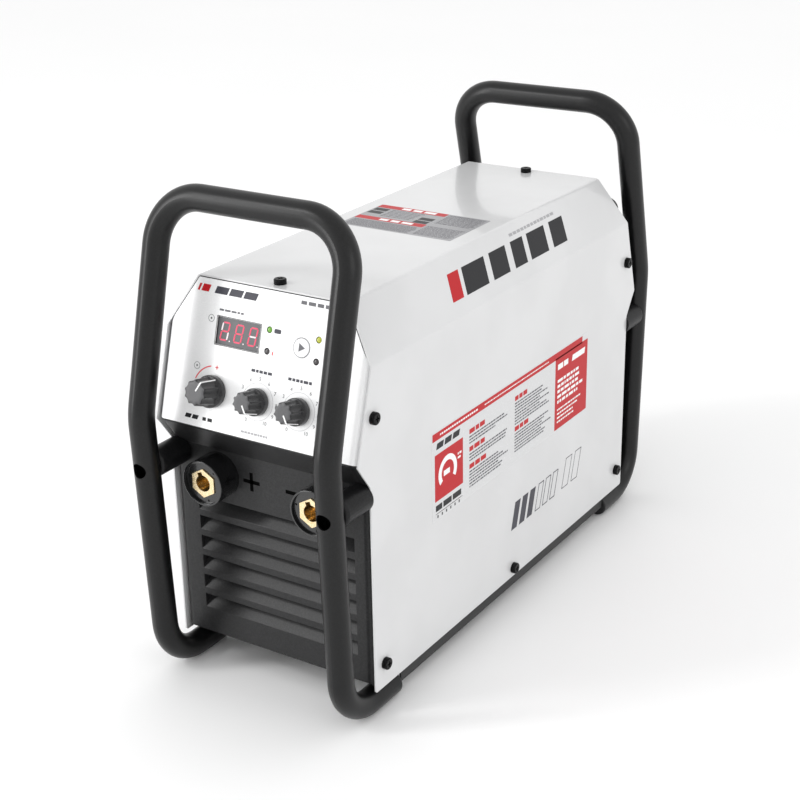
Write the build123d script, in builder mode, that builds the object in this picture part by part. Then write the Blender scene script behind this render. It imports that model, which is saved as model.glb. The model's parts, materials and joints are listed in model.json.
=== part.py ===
from build123d import *
from math import atan2, cos, degrees, hypot, pi, radians, sin, sqrt, tan
import os

os.makedirs("parts", exist_ok=True)

# Stick welding inverter. The origin is on the floor under the middle of the machine, +Z up.
# The control panel faces -Y and the fan faces +Y. Values named *_h are heights above the
# lower edge of the cover, and places on a sloping end face are x across and s down the slope.

# ---- tubular hoops: one at each end, feet, bumper and handle in one ----
tube_r = 10.0
tube_wall = 1.8
leg_inset = 8.5  # axis of a leg inside the cover's side
heel_reach = 31.5  # lower corner in front of the vertical panel
kink_reach = 40.0
kink_h = 203.0
bar_reach = 0.5
bar_rise = 63.5  # top bar above the cover
bar_bend_r = 37.0
heel_bend_r = 37.0
kink_bend_r = 60.0
run_len = 64.5  # lower corner to the end of the tube
cap_lip = 2.0
cap_plug = 12.0
cap_fit = 0.1

# ---- stand-offs between the hoops and the mouldings, and the bolts of the hoops ----
stay_h = 161.5
stay_r = 11.0
stay_round = 3.0
stay_fit = 0.15
stay_grip = 6.0  # end of a stand-off short of the tube's axis
seat_gap = 0.1  # between a stand-off or foot pad and what it carries
foot_pad_l, foot_pad_r = 4.3, 6.5  # pads that lift the base plate off the tubes
foot_saddle = 2.0  # how far a pad reaches down the sides of the tube
access_r = 6.0  # hole in the tube that lets a bolt head in
bolt_r = 3.0
bolt_hole_r = 3.3
bolt_head_r = 4.8
bolt_head_l = 5.0
bolt_socket_r = 2.6
bolt_nut_r = 5.5
bolt_nut_l = 5.0
bolt_head_gap, bolt_nut_gap = 0.8, 0.7
bolt_past_nut = 3.0
bolt_seat_gap = 0.15
foot_bolt_in = 11.0  # foot bolt from the end of the tube
foot_bolt_bite = 6.0  # below the top of the tube
foot_bolt_head_l = 3.0

# ---- cover ----
cover_half_w = 92.0
cover_t = 1.2
cover_h = 300.0
shoulder_in = 25.0
shoulder_drop = 40.0
cover_bend_r = 4.0
cover_corner_r = 2.0
top_half_len = 196.0
nose_out = 32.0  # nose beyond the top edge
nose_drop = 109.0
under_drop = 21.0  # height of the short face under the nose
panel_out = 17.0  # vertical panel beyond the top edge

# ---- end mouldings ----
end_gap = 0.8  # between a moulding and the cover
end_wall = 3.0
end_depth = 34.0
end_side_r = 6.5
nose_r = 3.0
film_t = 0.4
film_edge = 1.2
film_wrap = 3.0
panel_recess = 1.5
foot_gap = 3.8  # mouldings and base plate above the cover's lower edge
base_under_gap = 0.3

# ---- louvers of the front panel ----
panel_shift = 3.0  # louvers, sockets and signs sit this far to the right
louver_count = 6
louver_gap = 5.1  # under the sockets
louver_first_h = 27.3
louver_open_h = 11.8
louver_half_w = 72.5
blade_t = 2.0
blade_depth = 9.0
blade_vent = 2.2  # air gap left over a blade
lip_r = 1.1

# ---- base pan ----
base_t = 1.5
base_gap = 0.3
skirt_drop = 10.0
skirt_end_gap = 2.0
flange_h = 30.0

# ---- cover screws ----
screw_head_r = 4.75
screw_head_l = 4.0
screw_r = 2.0
screw_hole_r = 2.3
screw_pilot = 0.05
screw_l = 9.0
cross_w, cross_l, cross_depth = 1.1, 5.2, 1.6
upper_screw_h = 222.5
upper_screw_in = 5.0  # behind the vertical panel
lower_screw_h = 20.0
lower_screw_in = 13.0
middle_screw_h = 8.0
top_screw_in = 10.0

# ---- console: display, lamps, button ----
display_x, display_s = -25.0, 38.3
display_w, display_l = 39.6, 20.6
display_sink = 1.2
display_deep = 7.0
display_gap = 0.2
digit_h, digit_w, digit_pitch = 14.2, 7.4, 12.7
segment_w, segment_t, segment_gap = 1.2, 0.15, 0.2
digit_slant = 8.0
point_r, point_gap = 0.5, 1.2
led_r = 2.3
led_gap = 0.2
led_proud = 0.5
led_x = (2.5, 45.8)
led_s = (30.3, 46.0)
button_x, button_s = 32.1, 38.3
button_r = 6.8
button_gap = 0.25
button_proud = 0.5
button_flange = 1.4
button_travel = 0.8
switch_side, switch_tall = 6.0, 3.5

# ---- console: dials ----
main_knob_x = -41.4
small_knob_x = (-0.3, 36.4)
knob_s = 83.7
main_skirt_r, main_knob_l = 12.2, 21.0
small_skirt_r, small_knob_l = 10.2, 19.0
skirt_l = 5.5
knob_cavity = 4.5
knob_rim = 2.2
knob_flutes = 10
grip_share, tip_share = 0.93, 0.78  # radii of the grip as shares of the skirt's
flute_share, flute_in = 0.34, 0.62
skirt_edge = 0.8
knob_float = 0.6
shaft_r = 3.0
shaft_fit = 0.05
bush_r = 4.5
nut_fit = 0.05
bush_out = 3.0
pot_nut_af, pot_nut_l = 11.0, 2.0
pot_side, pot_l = 16.0, 8.0
board_t = 1.6
board_half_w = 68.0
board_s = (18.0, 98.0)
board_hole_in = 5.0

# ---- output sockets ----
socket_x = 49.7
socket_under_gap = 3.4  # below the short face under the nose
socket_out = 21.5
sleeve_r, sleeve_wall, sleeve_edge = 18.2, 1.6, 0.7
sleeve_floor = 4.0
neck_r, neck_gap = 13.5, 0.3
ring_nut_r, ring_nut_l = 19.0, 5.0
collar_gap = 0.2
collar_sink = 2.2
brass_corner_r, brass_sink = 11.7, 1.2
brass_shank_r = 9.0
brass_back = 10.0
plug_bore_r, plug_bore_l = 6.55, 28.0
plug_key_w, plug_key_r, plug_key_turn = 4.4, 8.9, 110.0
stud_r, stud_l = 5.0, 16.0
stud_nut_r, stud_nut_l = 9.0, 6.0
dimple_r, dimple_ring, dimple_count = 0.9, 14.2, 3
sign_x, sign_len, sign_w, sign_depth = 19.7, 15.4, 3.1, 2.0

# ---- rear end: fan, switch, cable gland ----
fan_h = 92.0
fan_side, fan_l = 120.0, 38.0
fan_bore_r = 57.5
fan_corner_r = 6.0
fan_gap = 0.3  # between the fan's frame and the moulding
fan_hole_pitch = 105.0
fan_screw_r, fan_screw_hole_r = 2.0, 2.2
fan_boss_r, fan_boss_l = 24.0, 5.0
fan_strut_w = 5.0
fan_hub_r, fan_hub_l = 22.0, 29.0
fan_blades, blade_thick, blade_twist = 7, 2.0, 38.0
fan_tip_gap = 1.5
hub_gap, hub_edge = 1.0, 2.0
hub_bore_share = 0.8  # of the hub's length
spindle_r, spindle_fit, spindle_gap = 2.0, 0.06, 1.0
wire_r = 1.2
guard_rings = 5
guard_eye_r = 5.0
guard_edge_gap = 3.0
guard_weld, guard_sink = 0.5, 0.12
fan_screw_head_r, fan_screw_head_l = 4.4, 2.6
fan_screw_end = 8.0  # beyond the fan's frame
rocker_x, rocker_s = 38.0, 46.0
rocker_w, rocker_l, rocker_body_deep = 22.0, 30.0, 20.0
rocker_frame, rocker_frame_t = 1.6, 2.0
rocker_wall, rocker_gap, rocker_end_gap = 1.4, 0.4, 1.0
rocker_tilt = 12.0
rocker_rise, rocker_dip = 3.4, 1.9  # over the pivot at the ends and in the middle
rocker_chin, rocker_belly, rocker_heel_w = 1.2, 3.4, 3.0
rocker_pin_r = 1.4
gland_x, gland_s = -58.0, 47.0
gland_thread_r, gland_hole_gap = 10.0, 0.2
gland_bore_r = 6.5
gland_af, gland_flange_l, gland_cap_l = 24.0, 6.0, 24.0
gland_inside_l = 11.0
gland_seal_r = 8.6
gland_hex_share, gland_cap_nose = 0.45, 4.0
gland_seal_share = 0.4
gland_cap_in = 0.6
gland_locknut_l = 5.0

# ---- inside: tray, power board, transformer, choke ----
tray_h, tray_t = 104.0, 1.5
tray_half_w = 72.0
tray_y = (-140.0, 130.0)
tray_foot = 9.0
standoff_l, standoff_r, standoff_hole_r = 8.0, 3.9, 1.5
standoff_in = 10.0  # from the tray's edges
tray_end_gap = 4.0
power_board_t = 1.6
sink_y = (-55.0, 95.0)
sink_x, sink_w, sink_tall = 46.0, 42.0, 50.0
sink_base, sink_fins, fin_t = 5.0, 8, 1.8
chip_w, chip_t, chip_tall, chip_count = 16.0, 4.8, 20.0, 3
chip_lift = 6.0
can_r, can_l, can_pitch, can_edge = 17.0, 45.0, 42.0, 1.5
core_w, core_l, core_tall, core_leg, core_rim = 84.0, 44.0, 76.0, 20.0, 14.0
coil_corner_r = 6.0
core_y = 50.0
coil_gap = 0.6
choke_r, choke_hole_r, choke_l = 32.0, 14.0, 32.0
choke_y = -60.0
winding_t, winding_turns = 4.0, 14
bar_w, bar_t = 18.0, 2.0
bar_end_in = 30.0

# ---- worked-out places ----
cover_drop = tube_r + foot_pad_l - foot_gap  # cover's edge above the tube's axis
edge_z = tube_r + cover_drop
panel_y = top_half_len + panel_out
nose_y = top_half_len + nose_out
nose_h = cover_h - nose_drop
under_h = nose_h - under_drop
socket_h = under_h - socket_under_gap - sleeve_r
louver_room = socket_h - sleeve_r - louver_gap - louver_open_h - louver_first_h
louver_pitch = louver_room / (louver_count - 1)
leg_x = cover_half_w - leg_inset
heel_y = panel_y + heel_reach
kink_y = panel_y + kink_reach
bar_y = panel_y - bar_reach
bar_h = cover_h + bar_rise
run_end = heel_y - run_len
face_y = panel_y - panel_recess
wall_y = face_y - end_wall
back_y = panel_y - end_depth
end_inset = cover_t + end_gap
end_half_w = cover_half_w - end_inset
slope_len = hypot(nose_out, nose_drop)
tilt = atan2(nose_out, nose_drop)
under = atan2(nose_out - panel_out, under_drop)
slant = atan2(shoulder_in, shoulder_drop)
base_top_h = foot_gap + base_t
leg_lean = atan2(kink_y - heel_y, kink_h + cover_drop)
stay_y = heel_y + tan(leg_lean) * (stay_h + cover_drop)
bolt_seat_y = stay_y - sqrt((tube_r - tube_wall) ** 2 - bolt_head_r**2) + bolt_seat_gap
foot_bolt_y = run_end + foot_bolt_in
foot_bolt_l = base_t + foot_pad_l + foot_bolt_bite
wall_n = -film_t  # outer face of a moulding, along the normal of the sloping face
inner_n = wall_n - end_wall
board_n = inner_n - 0.5 - pot_l
front, rear = -1, 1
left, right = -1, 1


def z_at(height):
    return edge_z + height


def console_plane(end, lift=0.0):
    """Sloping face of an end: X across, Y up the slope, Z out, origin on the cover's top edge."""
    normal = Vector(0, end * cos(tilt), sin(tilt))
    origin = Vector(0, end * top_half_len, z_at(cover_h)) + normal * lift
    return Plane(origin=origin, x_dir=(-end, 0, 0), z_dir=normal)


def panel_plane(end, y, x=0.0, height=0.0):
    """Upright plane that faces out of an end, at distance y from the middle of the machine."""
    return Plane(origin=(x, end * y, z_at(height)), x_dir=(-end, 0, 0), z_dir=(0, end, 0))


console = console_plane(front)
console_rear = console_plane(rear)


def save(piece, name):
    piece.part.label = name
    export_step(piece.part, "parts/" + name + ".step")


def moved_corner(corner, turn_a, turn_b, out):
    """Corner between two faces whose normals have these directions, both moved outwards."""
    share = out / (1 + cos(turn_a - turn_b))
    shift_a = share * (cos(turn_a) + cos(turn_b))
    shift_b = share * (sin(turn_a) + sin(turn_b))
    return corner[0] + shift_a, corner[1] + shift_b


def end_outline(out, face_out, foot):
    """Side outline of an end, top to foot: sloping face, short face under the nose, panel."""
    nose = moved_corner((nose_y, nose_h), tilt, -under, out)
    below = under_h + (face_out * cos(under) - out) / sin(under)
    face = panel_y + face_out
    return [(top_half_len + out / cos(tilt), cover_h), nose, (face, below), (face, foot)]


def wrap_section(inset, bend_r, foot):
    """Section of the cover across the machine, its outline moved in by inset."""
    shoulder = (cover_half_w, cover_h - shoulder_drop)
    ridge = (cover_half_w - shoulder_in, cover_h)
    mid = moved_corner(shoulder, 0, slant, -inset)
    high = moved_corner(ridge, slant, pi / 2, -inset)
    half = [(x, z_at(h)) for x, h in ((mid[0], foot), mid, high)]
    with BuildSketch(Plane.XZ) as section:
        with BuildLine():
            Polyline(*half, *[(-x, z) for x, z in reversed(half)], close=True)
        make_face()
        if bend_r:
            fillet([v for v in vertices() if v.Y > z_at(foot) + 1], bend_r)
    return section.sketch


def end_prism(end, out, face_out, depth, foot):
    """The side outline of an end, carried right across the machine and back by depth."""
    outline = [(end * y, z_at(h)) for y, h in end_outline(out, face_out, foot)]
    behind = end * (panel_y - depth)
    with BuildPart() as prism:
        with BuildSketch(Plane.YZ):
            with BuildLine():
                Polyline(*outline, (behind, z_at(foot)), (behind, z_at(cover_h)), close=True)
            make_face()
        extrude(amount=2 * cover_half_w, both=True)
    return prism.part


def end_form(end, out, face_out, inset, depth, side_r, foot):
    """Closed form of an end moulding with rolled upright edges."""
    behind = panel_y - depth
    reach = 2 * nose_y
    with BuildPart() as form:
        add(end_prism(end, out, face_out, depth, foot))
        extrude(wrap_section(inset, 0, foot - 1), amount=reach, both=True, mode=Mode.INTERSECT)
        flat = cover_half_w - inset
        upright = [e for e in edges() if abs(abs(e.center().X) - flat) < 0.01]
        upright = [e for e in upright if abs(e.tangent_at(0.5).Y) < 0.9]
        fillet([e for e in upright if abs(e.center().Y) > behind + 1], side_r)
        nose = [e for e in edges().filter_by(Axis.X) if abs(e.center().Z - z_at(nose_h)) < 3]
        fillet([e for e in nose if abs(e.center().Y) > nose_y - 5], nose_r)
    return form.part


def hoop_path(end):
    """Centre line of a hoop, from one end under the base to the other."""
    half = [
        (-leg_x, end * run_end, tube_r),
        (-leg_x, end * heel_y, tube_r),
        (-leg_x, end * kink_y, z_at(kink_h)),
        (-leg_x, end * bar_y, z_at(bar_h)),
    ]
    other = [(-x, y, z) for x, y, z in reversed(half)]
    radii = [heel_bend_r, kink_bend_r, bar_bend_r]
    with BuildLine() as path:
        FilletPolyline(*half, *other, radius=radii + radii[::-1])
    return path


def pan_head_screw(head_r, head_l, shank_r, shank_l, edge_r):
    """Screw along Z, its head above the origin and its shank below, with a cross recess."""
    with BuildPart() as screw:
        Cylinder(head_r, head_l, align=(Align.CENTER, Align.CENTER, Align.MIN))
        fillet(edges().filter_by(GeomType.CIRCLE).sort_by(Axis.Z)[-1], edge_r)
        Cylinder(shank_r, shank_l, align=(Align.CENTER, Align.CENTER, Align.MAX))
        with BuildSketch(Plane.XY.offset(head_l)):
            Rectangle(cross_w, cross_l)
            Rectangle(cross_l, cross_w)
        extrude(amount=-cross_depth, mode=Mode.SUBTRACT)
    return screw.part


def cap_screw(shank_l):
    """Socket-head bolt along Z, its head above the origin and its shank below."""
    with BuildPart() as bolt:
        Cylinder(bolt_head_r, bolt_head_l, align=(Align.CENTER, Align.CENTER, Align.MIN))
        fillet(edges().filter_by(GeomType.CIRCLE).sort_by(Axis.Z)[-1], 0.5)
        Cylinder(bolt_r, shank_l, align=(Align.CENTER, Align.CENTER, Align.MAX))
        with BuildSketch(Plane.XY.offset(bolt_head_l)):
            RegularPolygon(bolt_socket_r, 6)
        extrude(amount=-bolt_head_l / 2, mode=Mode.SUBTRACT)
    return bolt.part


# ---- cover: one folded sheet, open below and at both ends ----
side_screws = [(end * (panel_y - upper_screw_in), upper_screw_h) for end in (front, rear)]
side_screws += [(end * (panel_y - lower_screw_in), lower_screw_h) for end in (front, rear)]
side_screws += [(0.0, middle_screw_h)]
top_screws = [end * (top_half_len - top_screw_in) for end in (front, rear)]


def cut_side_holes(radius, places):
    with BuildSketch(Plane.YZ) as holes:
        with Locations([(y, z_at(h)) for y, h in places]):
            Circle(radius)
    extrude(holes.sketch, amount=cover_half_w + 1, both=True, mode=Mode.SUBTRACT)


def cut_top_holes(radius, places):
    with BuildSketch(Plane.XY.offset(z_at(cover_h) + 1)) as holes:
        with Locations([(0, y) for y in places]):
            Circle(radius)
    extrude(holes.sketch, amount=-shoulder_drop, mode=Mode.SUBTRACT)


with BuildPart() as cover:
    extrude(wrap_section(0, cover_bend_r, 0), amount=nose_y, both=True)
    inner_r = cover_bend_r - cover_t
    extrude(wrap_section(cover_t, inner_r, -20), amount=nose_y, both=True, mode=Mode.SUBTRACT)
    with BuildSketch(Plane.YZ):
        half = [(y, z_at(h)) for y, h in end_outline(0, 0, 0)]
        with BuildLine():
            Polyline(*half, *[(-y, z) for y, z in reversed(half)], close=True)
        make_face()
        fillet([v for v in vertices() if v.Y < z_at(0) + 1], cover_corner_r)
    extrude(amount=cover_half_w + 1, both=True, mode=Mode.INTERSECT)
    cut_side_holes(screw_hole_r, side_screws)
    cut_top_holes(screw_hole_r, top_screws)
save(cover, "cover")

with BuildPart() as cover_screws:
    screw = pan_head_screw(screw_head_r, screw_head_l, screw_r, screw_l, 1.0)
    for y, h in side_screws:
        for side in (left, right):
            seat = Plane(origin=(side * cover_half_w, y, z_at(h)), z_dir=(side, 0, 0))
            add(screw.moved(seat.location))
    for y in top_screws:
        add(screw.moved(Plane.XY.offset(z_at(cover_h)).location * Location((0, y, 0))))
save(cover_screws, "cover_screws")

# ---- base pan: plate, side flanges inside the cover, skirts that show under its edge ----
flange_x = cover_half_w - cover_t - base_gap
plate_end = wall_y - 0.3
flange_end = back_y - 0.5
skirt_end = run_end - cap_lip - skirt_end_gap
with BuildPart() as base_pan:
    plate_z = z_at(foot_gap)
    with BuildSketch(Plane.XY.offset(plate_z)):
        Rectangle(2 * flange_x, 2 * flange_end)
        Rectangle(2 * (end_half_w - end_wall - 0.3), 2 * plate_end)
    extrude(amount=base_t)
    for side in (left, right):
        at = Plane.YZ.offset(side * flange_x)
        with BuildSketch(at):
            with BuildLine():
                Polyline(
                    (-flange_end, z_at(flange_h)), (flange_end, z_at(flange_h)),
                    (flange_end, plate_z), (skirt_end, plate_z), (skirt_end, z_at(-skirt_drop)),
                    (-skirt_end, z_at(-skirt_drop)), (-skirt_end, plate_z),
                    (-flange_end, plate_z), close=True,
                )
            make_face()
        extrude(amount=-side * base_t)
    cut_side_holes(screw_r + screw_pilot, [(0.0, middle_screw_h)])
    with BuildSketch(Plane.XY.offset(plate_z)):
        with GridLocations(2 * leg_x, 2 * foot_bolt_y, 2, 2):
            Circle(bolt_hole_r)
    extrude(amount=base_t, mode=Mode.SUBTRACT)
save(base_pan, "base_pan")

# ---- hoops ----
for end, name in ((front, "front_hoop"), (rear, "rear_hoop")):
    path = hoop_path(end)
    start = Plane(origin=path.line @ 0, z_dir=path.line % 0)
    with BuildPart() as hoop:
        with BuildSketch(start):
            Circle(tube_r)
            Circle(tube_r - tube_wall, mode=Mode.SUBTRACT)
        sweep(path=path.line)
        with BuildSketch(panel_plane(end, stay_y + tube_r + 1, 0, stay_h)):
            with GridLocations(2 * leg_x, 1, 2, 1):
                Circle(access_r)
        extrude(amount=-tube_r - 1, mode=Mode.SUBTRACT)
        with BuildSketch(panel_plane(end, stay_y, 0, stay_h)):
            with GridLocations(2 * leg_x, 1, 2, 1):
                Circle(bolt_hole_r)
        extrude(amount=-tube_r - 1, mode=Mode.SUBTRACT)
        with BuildSketch(Plane.XY.offset(tube_r)):
            with Locations([(side * leg_x, end * foot_bolt_y) for side in (left, right)]):
                Circle(bolt_r + screw_pilot)
        extrude(amount=tube_r + 1, mode=Mode.SUBTRACT)
    save(hoop, name)

with BuildPart() as hoop_caps:
    for end in (front, rear):
        for side in (left, right):
            seat = Plane(
                origin=(side * leg_x, end * run_end, tube_r), x_dir=(1, 0, 0), z_dir=(0, -end, 0)
            )
            with BuildSketch(seat):
                Circle(tube_r)
            extrude(amount=cap_lip)
            with BuildSketch(seat):
                Circle(tube_r - tube_wall - cap_fit)
            extrude(amount=-cap_plug + foot_bolt_in / 2)
    rims = edges().filter_by(GeomType.CIRCLE).filter_by(lambda e: abs(e.radius - tube_r) < 0.01)
    fillet([e for e in rims if abs(e.center().Y) < run_end - cap_lip / 2], cap_lip * 0.7)
save(hoop_caps, "hoop_caps")


# ---- stand-offs, foot pads and bolts of the hoops ----
def make_stays(end):
    with BuildPart() as stays:
        with BuildSketch(panel_plane(end, panel_y + seat_gap, 0, stay_h)):
            with GridLocations(2 * leg_x, 1, 2, 1):
                Circle(stay_r)
        extrude(amount=stay_y - panel_y - stay_grip)
        far = edges().filter_by(GeomType.CIRCLE)
        fillet([e for e in far if abs(e.center().Y) > panel_y + 1], stay_round)
        add(end_prism(end, seat_gap, seat_gap / 2, end_depth, foot_gap), mode=Mode.SUBTRACT)
        for side in (left, right):
            low = Vector(side * leg_x, end * heel_y, tube_r)
            high = Vector(side * leg_x, end * kink_y, z_at(kink_h))
            with BuildSketch(Plane(origin=low, z_dir=high - low)):
                Circle(tube_r + stay_fit)
            extrude(amount=(high - low).length, mode=Mode.SUBTRACT)
        with BuildSketch(panel_plane(end, wall_y, 0, stay_h)):
            with GridLocations(2 * leg_x, 1, 2, 1):
                Circle(bolt_hole_r)
        extrude(amount=stay_y - wall_y + tube_r, mode=Mode.SUBTRACT)
    return stays


with BuildPart() as spacers:
    for end in (front, rear):
        add(make_stays(end))
    with BuildSketch(Plane.XY.offset(z_at(foot_gap) - seat_gap)):
        with GridLocations(2 * leg_x, 2 * foot_bolt_y, 2, 2):
            Circle(foot_pad_r)
            Circle(bolt_hole_r, mode=Mode.SUBTRACT)
    extrude(amount=seat_gap - foot_pad_l - foot_saddle)
    with BuildSketch(Plane.XZ):
        with Locations([(side * leg_x, tube_r) for side in (left, right)]):
            Circle(tube_r + stay_fit)
    extrude(amount=foot_bolt_y + 2 * foot_pad_r, both=True, mode=Mode.SUBTRACT)
save(spacers, "spacers")

stay_bolt_l = bolt_seat_y - wall_y + bolt_nut_l + bolt_past_nut
with BuildPart() as hoop_bolts:
    bolt = cap_screw(stay_bolt_l)
    for end in (front, rear):
        for side in (left, right):
            add(bolt.moved(panel_plane(end, bolt_seat_y, side * leg_x, stay_h).location))
save(hoop_bolts, "hoop_bolts")

with BuildPart() as hoop_nuts:
    for end in (front, rear):
        with BuildSketch(panel_plane(end, wall_y, 0, stay_h)):
            with GridLocations(2 * leg_x, 1, 2, 1):
                RegularPolygon(bolt_nut_r, 6)
                Circle(bolt_r + nut_fit, mode=Mode.SUBTRACT)
        extrude(amount=-bolt_nut_l)
save(hoop_nuts, "hoop_nuts")

with BuildPart() as foot_bolts:
    foot_bolt = pan_head_screw(bolt_head_r, foot_bolt_head_l, bolt_r, foot_bolt_l, 0.8)
    with GridLocations(2 * leg_x, 2 * foot_bolt_y, 2, 2):
        add(foot_bolt.moved(Location((0, 0, z_at(base_top_h)))))
save(foot_bolts, "foot_bolts")


# ---- front moulding: sloping console above, louvered panel below ----
def end_shell(end):
    """Hollow end moulding: open at the back, notched below for the base plate."""
    inner_foot = base_top_h + base_under_gap + end_wall
    with BuildPart() as shell:
        add(end_form(end, -film_t, -panel_recess, end_inset, end_depth, end_side_r, foot_gap))
        inner = end_form(
            end, -film_t - end_wall, -panel_recess - end_wall, end_inset + end_wall,
            end_depth + 1, end_side_r - end_wall, inner_foot,
        )
        add(inner, mode=Mode.SUBTRACT)
        notch = Plane(origin=(0, end * wall_y, z_at(foot_gap - 1)), z_dir=(0, 0, 1))
        with BuildSketch(notch):
            Rectangle(2 * (end_half_w - end_wall), 2 * end_depth)
        extrude(amount=base_t + base_under_gap + 1, mode=Mode.SUBTRACT)
        with BuildSketch(Plane.XY.offset(z_at(foot_gap))):
            with Locations([(side * leg_x, end * foot_bolt_y) for side in (left, right)]):
                Circle(bolt_head_r + bolt_head_gap)
        extrude(amount=inner_foot - foot_gap + 1, mode=Mode.SUBTRACT)
        with BuildSketch(panel_plane(end, panel_y, 0, stay_h)):
            with GridLocations(2 * leg_x, 1, 2, 1):
                Circle(bolt_hole_r)
        extrude(amount=-end_depth / 2, mode=Mode.SUBTRACT)
        with BuildSketch(panel_plane(end, wall_y, 0, stay_h)):
            with GridLocations(2 * leg_x, 1, 2, 1):
                Circle(bolt_nut_r + bolt_nut_gap)
        extrude(amount=-end_depth / 2, mode=Mode.SUBTRACT)
        here = [(y, h) for y, h in side_screws if y * end > 0]
        cut_side_holes(screw_r + screw_pilot, here)
        cut_top_holes(screw_r + screw_pilot, [y for y in top_screws if y * end > 0])
    return shell.part


def louver_blade(foot_z):
    """Section in the Y-Z plane of a blade that leans back and up from the foot of its opening."""
    rise = louver_open_h - blade_vent
    return [
        (-face_y, foot_z), (-face_y + blade_depth, foot_z + rise),
        (-face_y + blade_depth, foot_z + rise - blade_t), (-face_y + blade_t, foot_z - blade_t),
        (-face_y, foot_z - blade_t),
    ]


lamp_places = [(x, -s) for x in led_x for s in led_s]
dial_places = [(x, -knob_s) for x in (main_knob_x, *small_knob_x)]
louver_feet = [z_at(louver_first_h + k * louver_pitch) for k in range(louver_count)]

with BuildPart() as front_bezel:
    add(end_shell(front))
    with BuildSketch(console):
        with Locations((display_x, -display_s)):
            Rectangle(display_w + 2 * display_gap, display_l + 2 * display_gap)
        with Locations(lamp_places):
            Circle(led_r + led_gap)
        with Locations((button_x, -button_s)):
            Circle(button_r + button_gap)
        with Locations(dial_places):
            Circle(bush_r + nut_fit)
    extrude(amount=inner_n - 1, mode=Mode.SUBTRACT)
    at_panel = panel_plane(front, face_y + 1)
    with BuildSketch(at_panel):
        for foot_z in louver_feet:
            with Locations((panel_shift, foot_z - edge_z + louver_open_h / 2)):
                Rectangle(2 * louver_half_w, louver_open_h)
    extrude(amount=-end_wall - 2, mode=Mode.SUBTRACT)
    for foot_z in louver_feet:
        with BuildSketch(Plane.YZ.offset(panel_shift)):
            with BuildLine():
                Polyline(*louver_blade(foot_z), close=True)
            make_face()
        extrude(amount=louver_half_w + blade_t, both=True)
        for side in (left, right):
            with BuildSketch(Plane.YZ.offset(panel_shift + side * louver_half_w)):
                with BuildLine():
                    Polyline(
                        (-wall_y, foot_z - blade_t), (-wall_y, foot_z + louver_open_h + blade_t),
                        (-face_y + blade_depth, foot_z + louver_open_h + blade_t),
                        (-face_y + blade_depth, foot_z + blade_t * 2), close=True,
                    )
                make_face()
            extrude(amount=side * blade_t)
    lips = [e for e in edges().filter_by(Axis.X) if abs(e.center().Y + face_y) < 0.01]
    lips = [e for e in lips if min(abs(e.center().Z - foot_z) for foot_z in louver_feet) < 0.01]
    fillet(lips, lip_r)
    with BuildSketch(panel_plane(front, panel_y + socket_out, panel_shift, socket_h)):
        with GridLocations(2 * socket_x, 1, 2, 1):
            Circle(neck_r + neck_gap)
    extrude(amount=-socket_out - end_depth / 2, mode=Mode.SUBTRACT)
    with BuildSketch(panel_plane(front, face_y, panel_shift, socket_h)):
        with Locations((-sign_x, 0)):
            Rectangle(sign_len, sign_w)
            Rectangle(sign_w, sign_len)
        with Locations((sign_x, 0)):
            Rectangle(sign_len, sign_w)
    extrude(amount=-sign_depth, mode=Mode.SUBTRACT)
save(front_bezel, "front_bezel")

# ---- printed film that covers the console and wraps its sides ----
with BuildPart() as console_film:
    add(end_form(front, 0, -panel_recess, end_inset, end_depth, end_side_r, foot_gap))
    under_film = end_form(
        front, -film_t, -panel_recess, end_inset, end_depth, end_side_r, foot_gap
    )
    add(under_film, mode=Mode.SUBTRACT)
    film_len = slope_len - 2 * film_edge
    with BuildSketch(console_plane(front, 1)):
        with Locations((0, -slope_len / 2)):
            Rectangle(2 * cover_half_w, film_len)
    extrude(amount=-film_wrap - 1, mode=Mode.INTERSECT)
    with BuildSketch(console_plane(front, 1)):
        with Locations((display_x, -display_s)):
            Rectangle(display_w, display_l)
        with Locations(lamp_places):
            Circle(led_r + led_gap)
        with Locations((button_x, -button_s)):
            Circle(button_r + button_gap)
        with Locations(dial_places):
            Circle(pot_nut_af / 2 / cos(pi / 6) + button_gap)
    extrude(amount=-2, mode=Mode.SUBTRACT)
save(console_film, "console_film")


# ---- display: block with three seven-segment digits ----
def segment(along, across, length, upright):
    """Corners of one bar of a digit, pointed at both ends, leaning with the digit."""
    reach, half = length / 2 - segment_gap, segment_w / 2
    shape = [(-reach, 0), (-reach + half, half), (reach - half, half)]
    shape += [(reach, 0), (reach - half, -half), (-reach + half, -half)]
    if upright:
        shape = [(y, x) for x, y in shape]
    lean = tan(radians(digit_slant))
    return [(across + x + (along + y) * lean, along + y) for x, y in shape]


def digit_bars(names):
    """Bars of a digit by letter, a at the top, then clockwise, with g in the middle."""
    wide, tall = digit_w - segment_w, (digit_h - segment_w) / 2
    bars = {
        "a": segment(tall, 0, wide, False), "g": segment(0, 0, wide, False),
        "d": segment(-tall, 0, wide, False), "b": segment(tall / 2, wide / 2, tall, True),
        "c": segment(-tall / 2, wide / 2, tall, True),
        "e": segment(-tall / 2, -wide / 2, tall, True),
        "f": segment(tall / 2, -wide / 2, tall, True),
    }
    return [bars[name] for name in names]


shown = ("abged", "abcdefg", "abcdef")
display_face = Plane(console.from_local_coords((display_x, -display_s, -display_sink)),
                     x_dir=console.x_dir, z_dir=console.z_dir)
with BuildPart() as display_block:
    with BuildSketch(display_face):
        Rectangle(display_w, display_l)
    extrude(amount=-display_deep)
save(display_block, "display_block")

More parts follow.
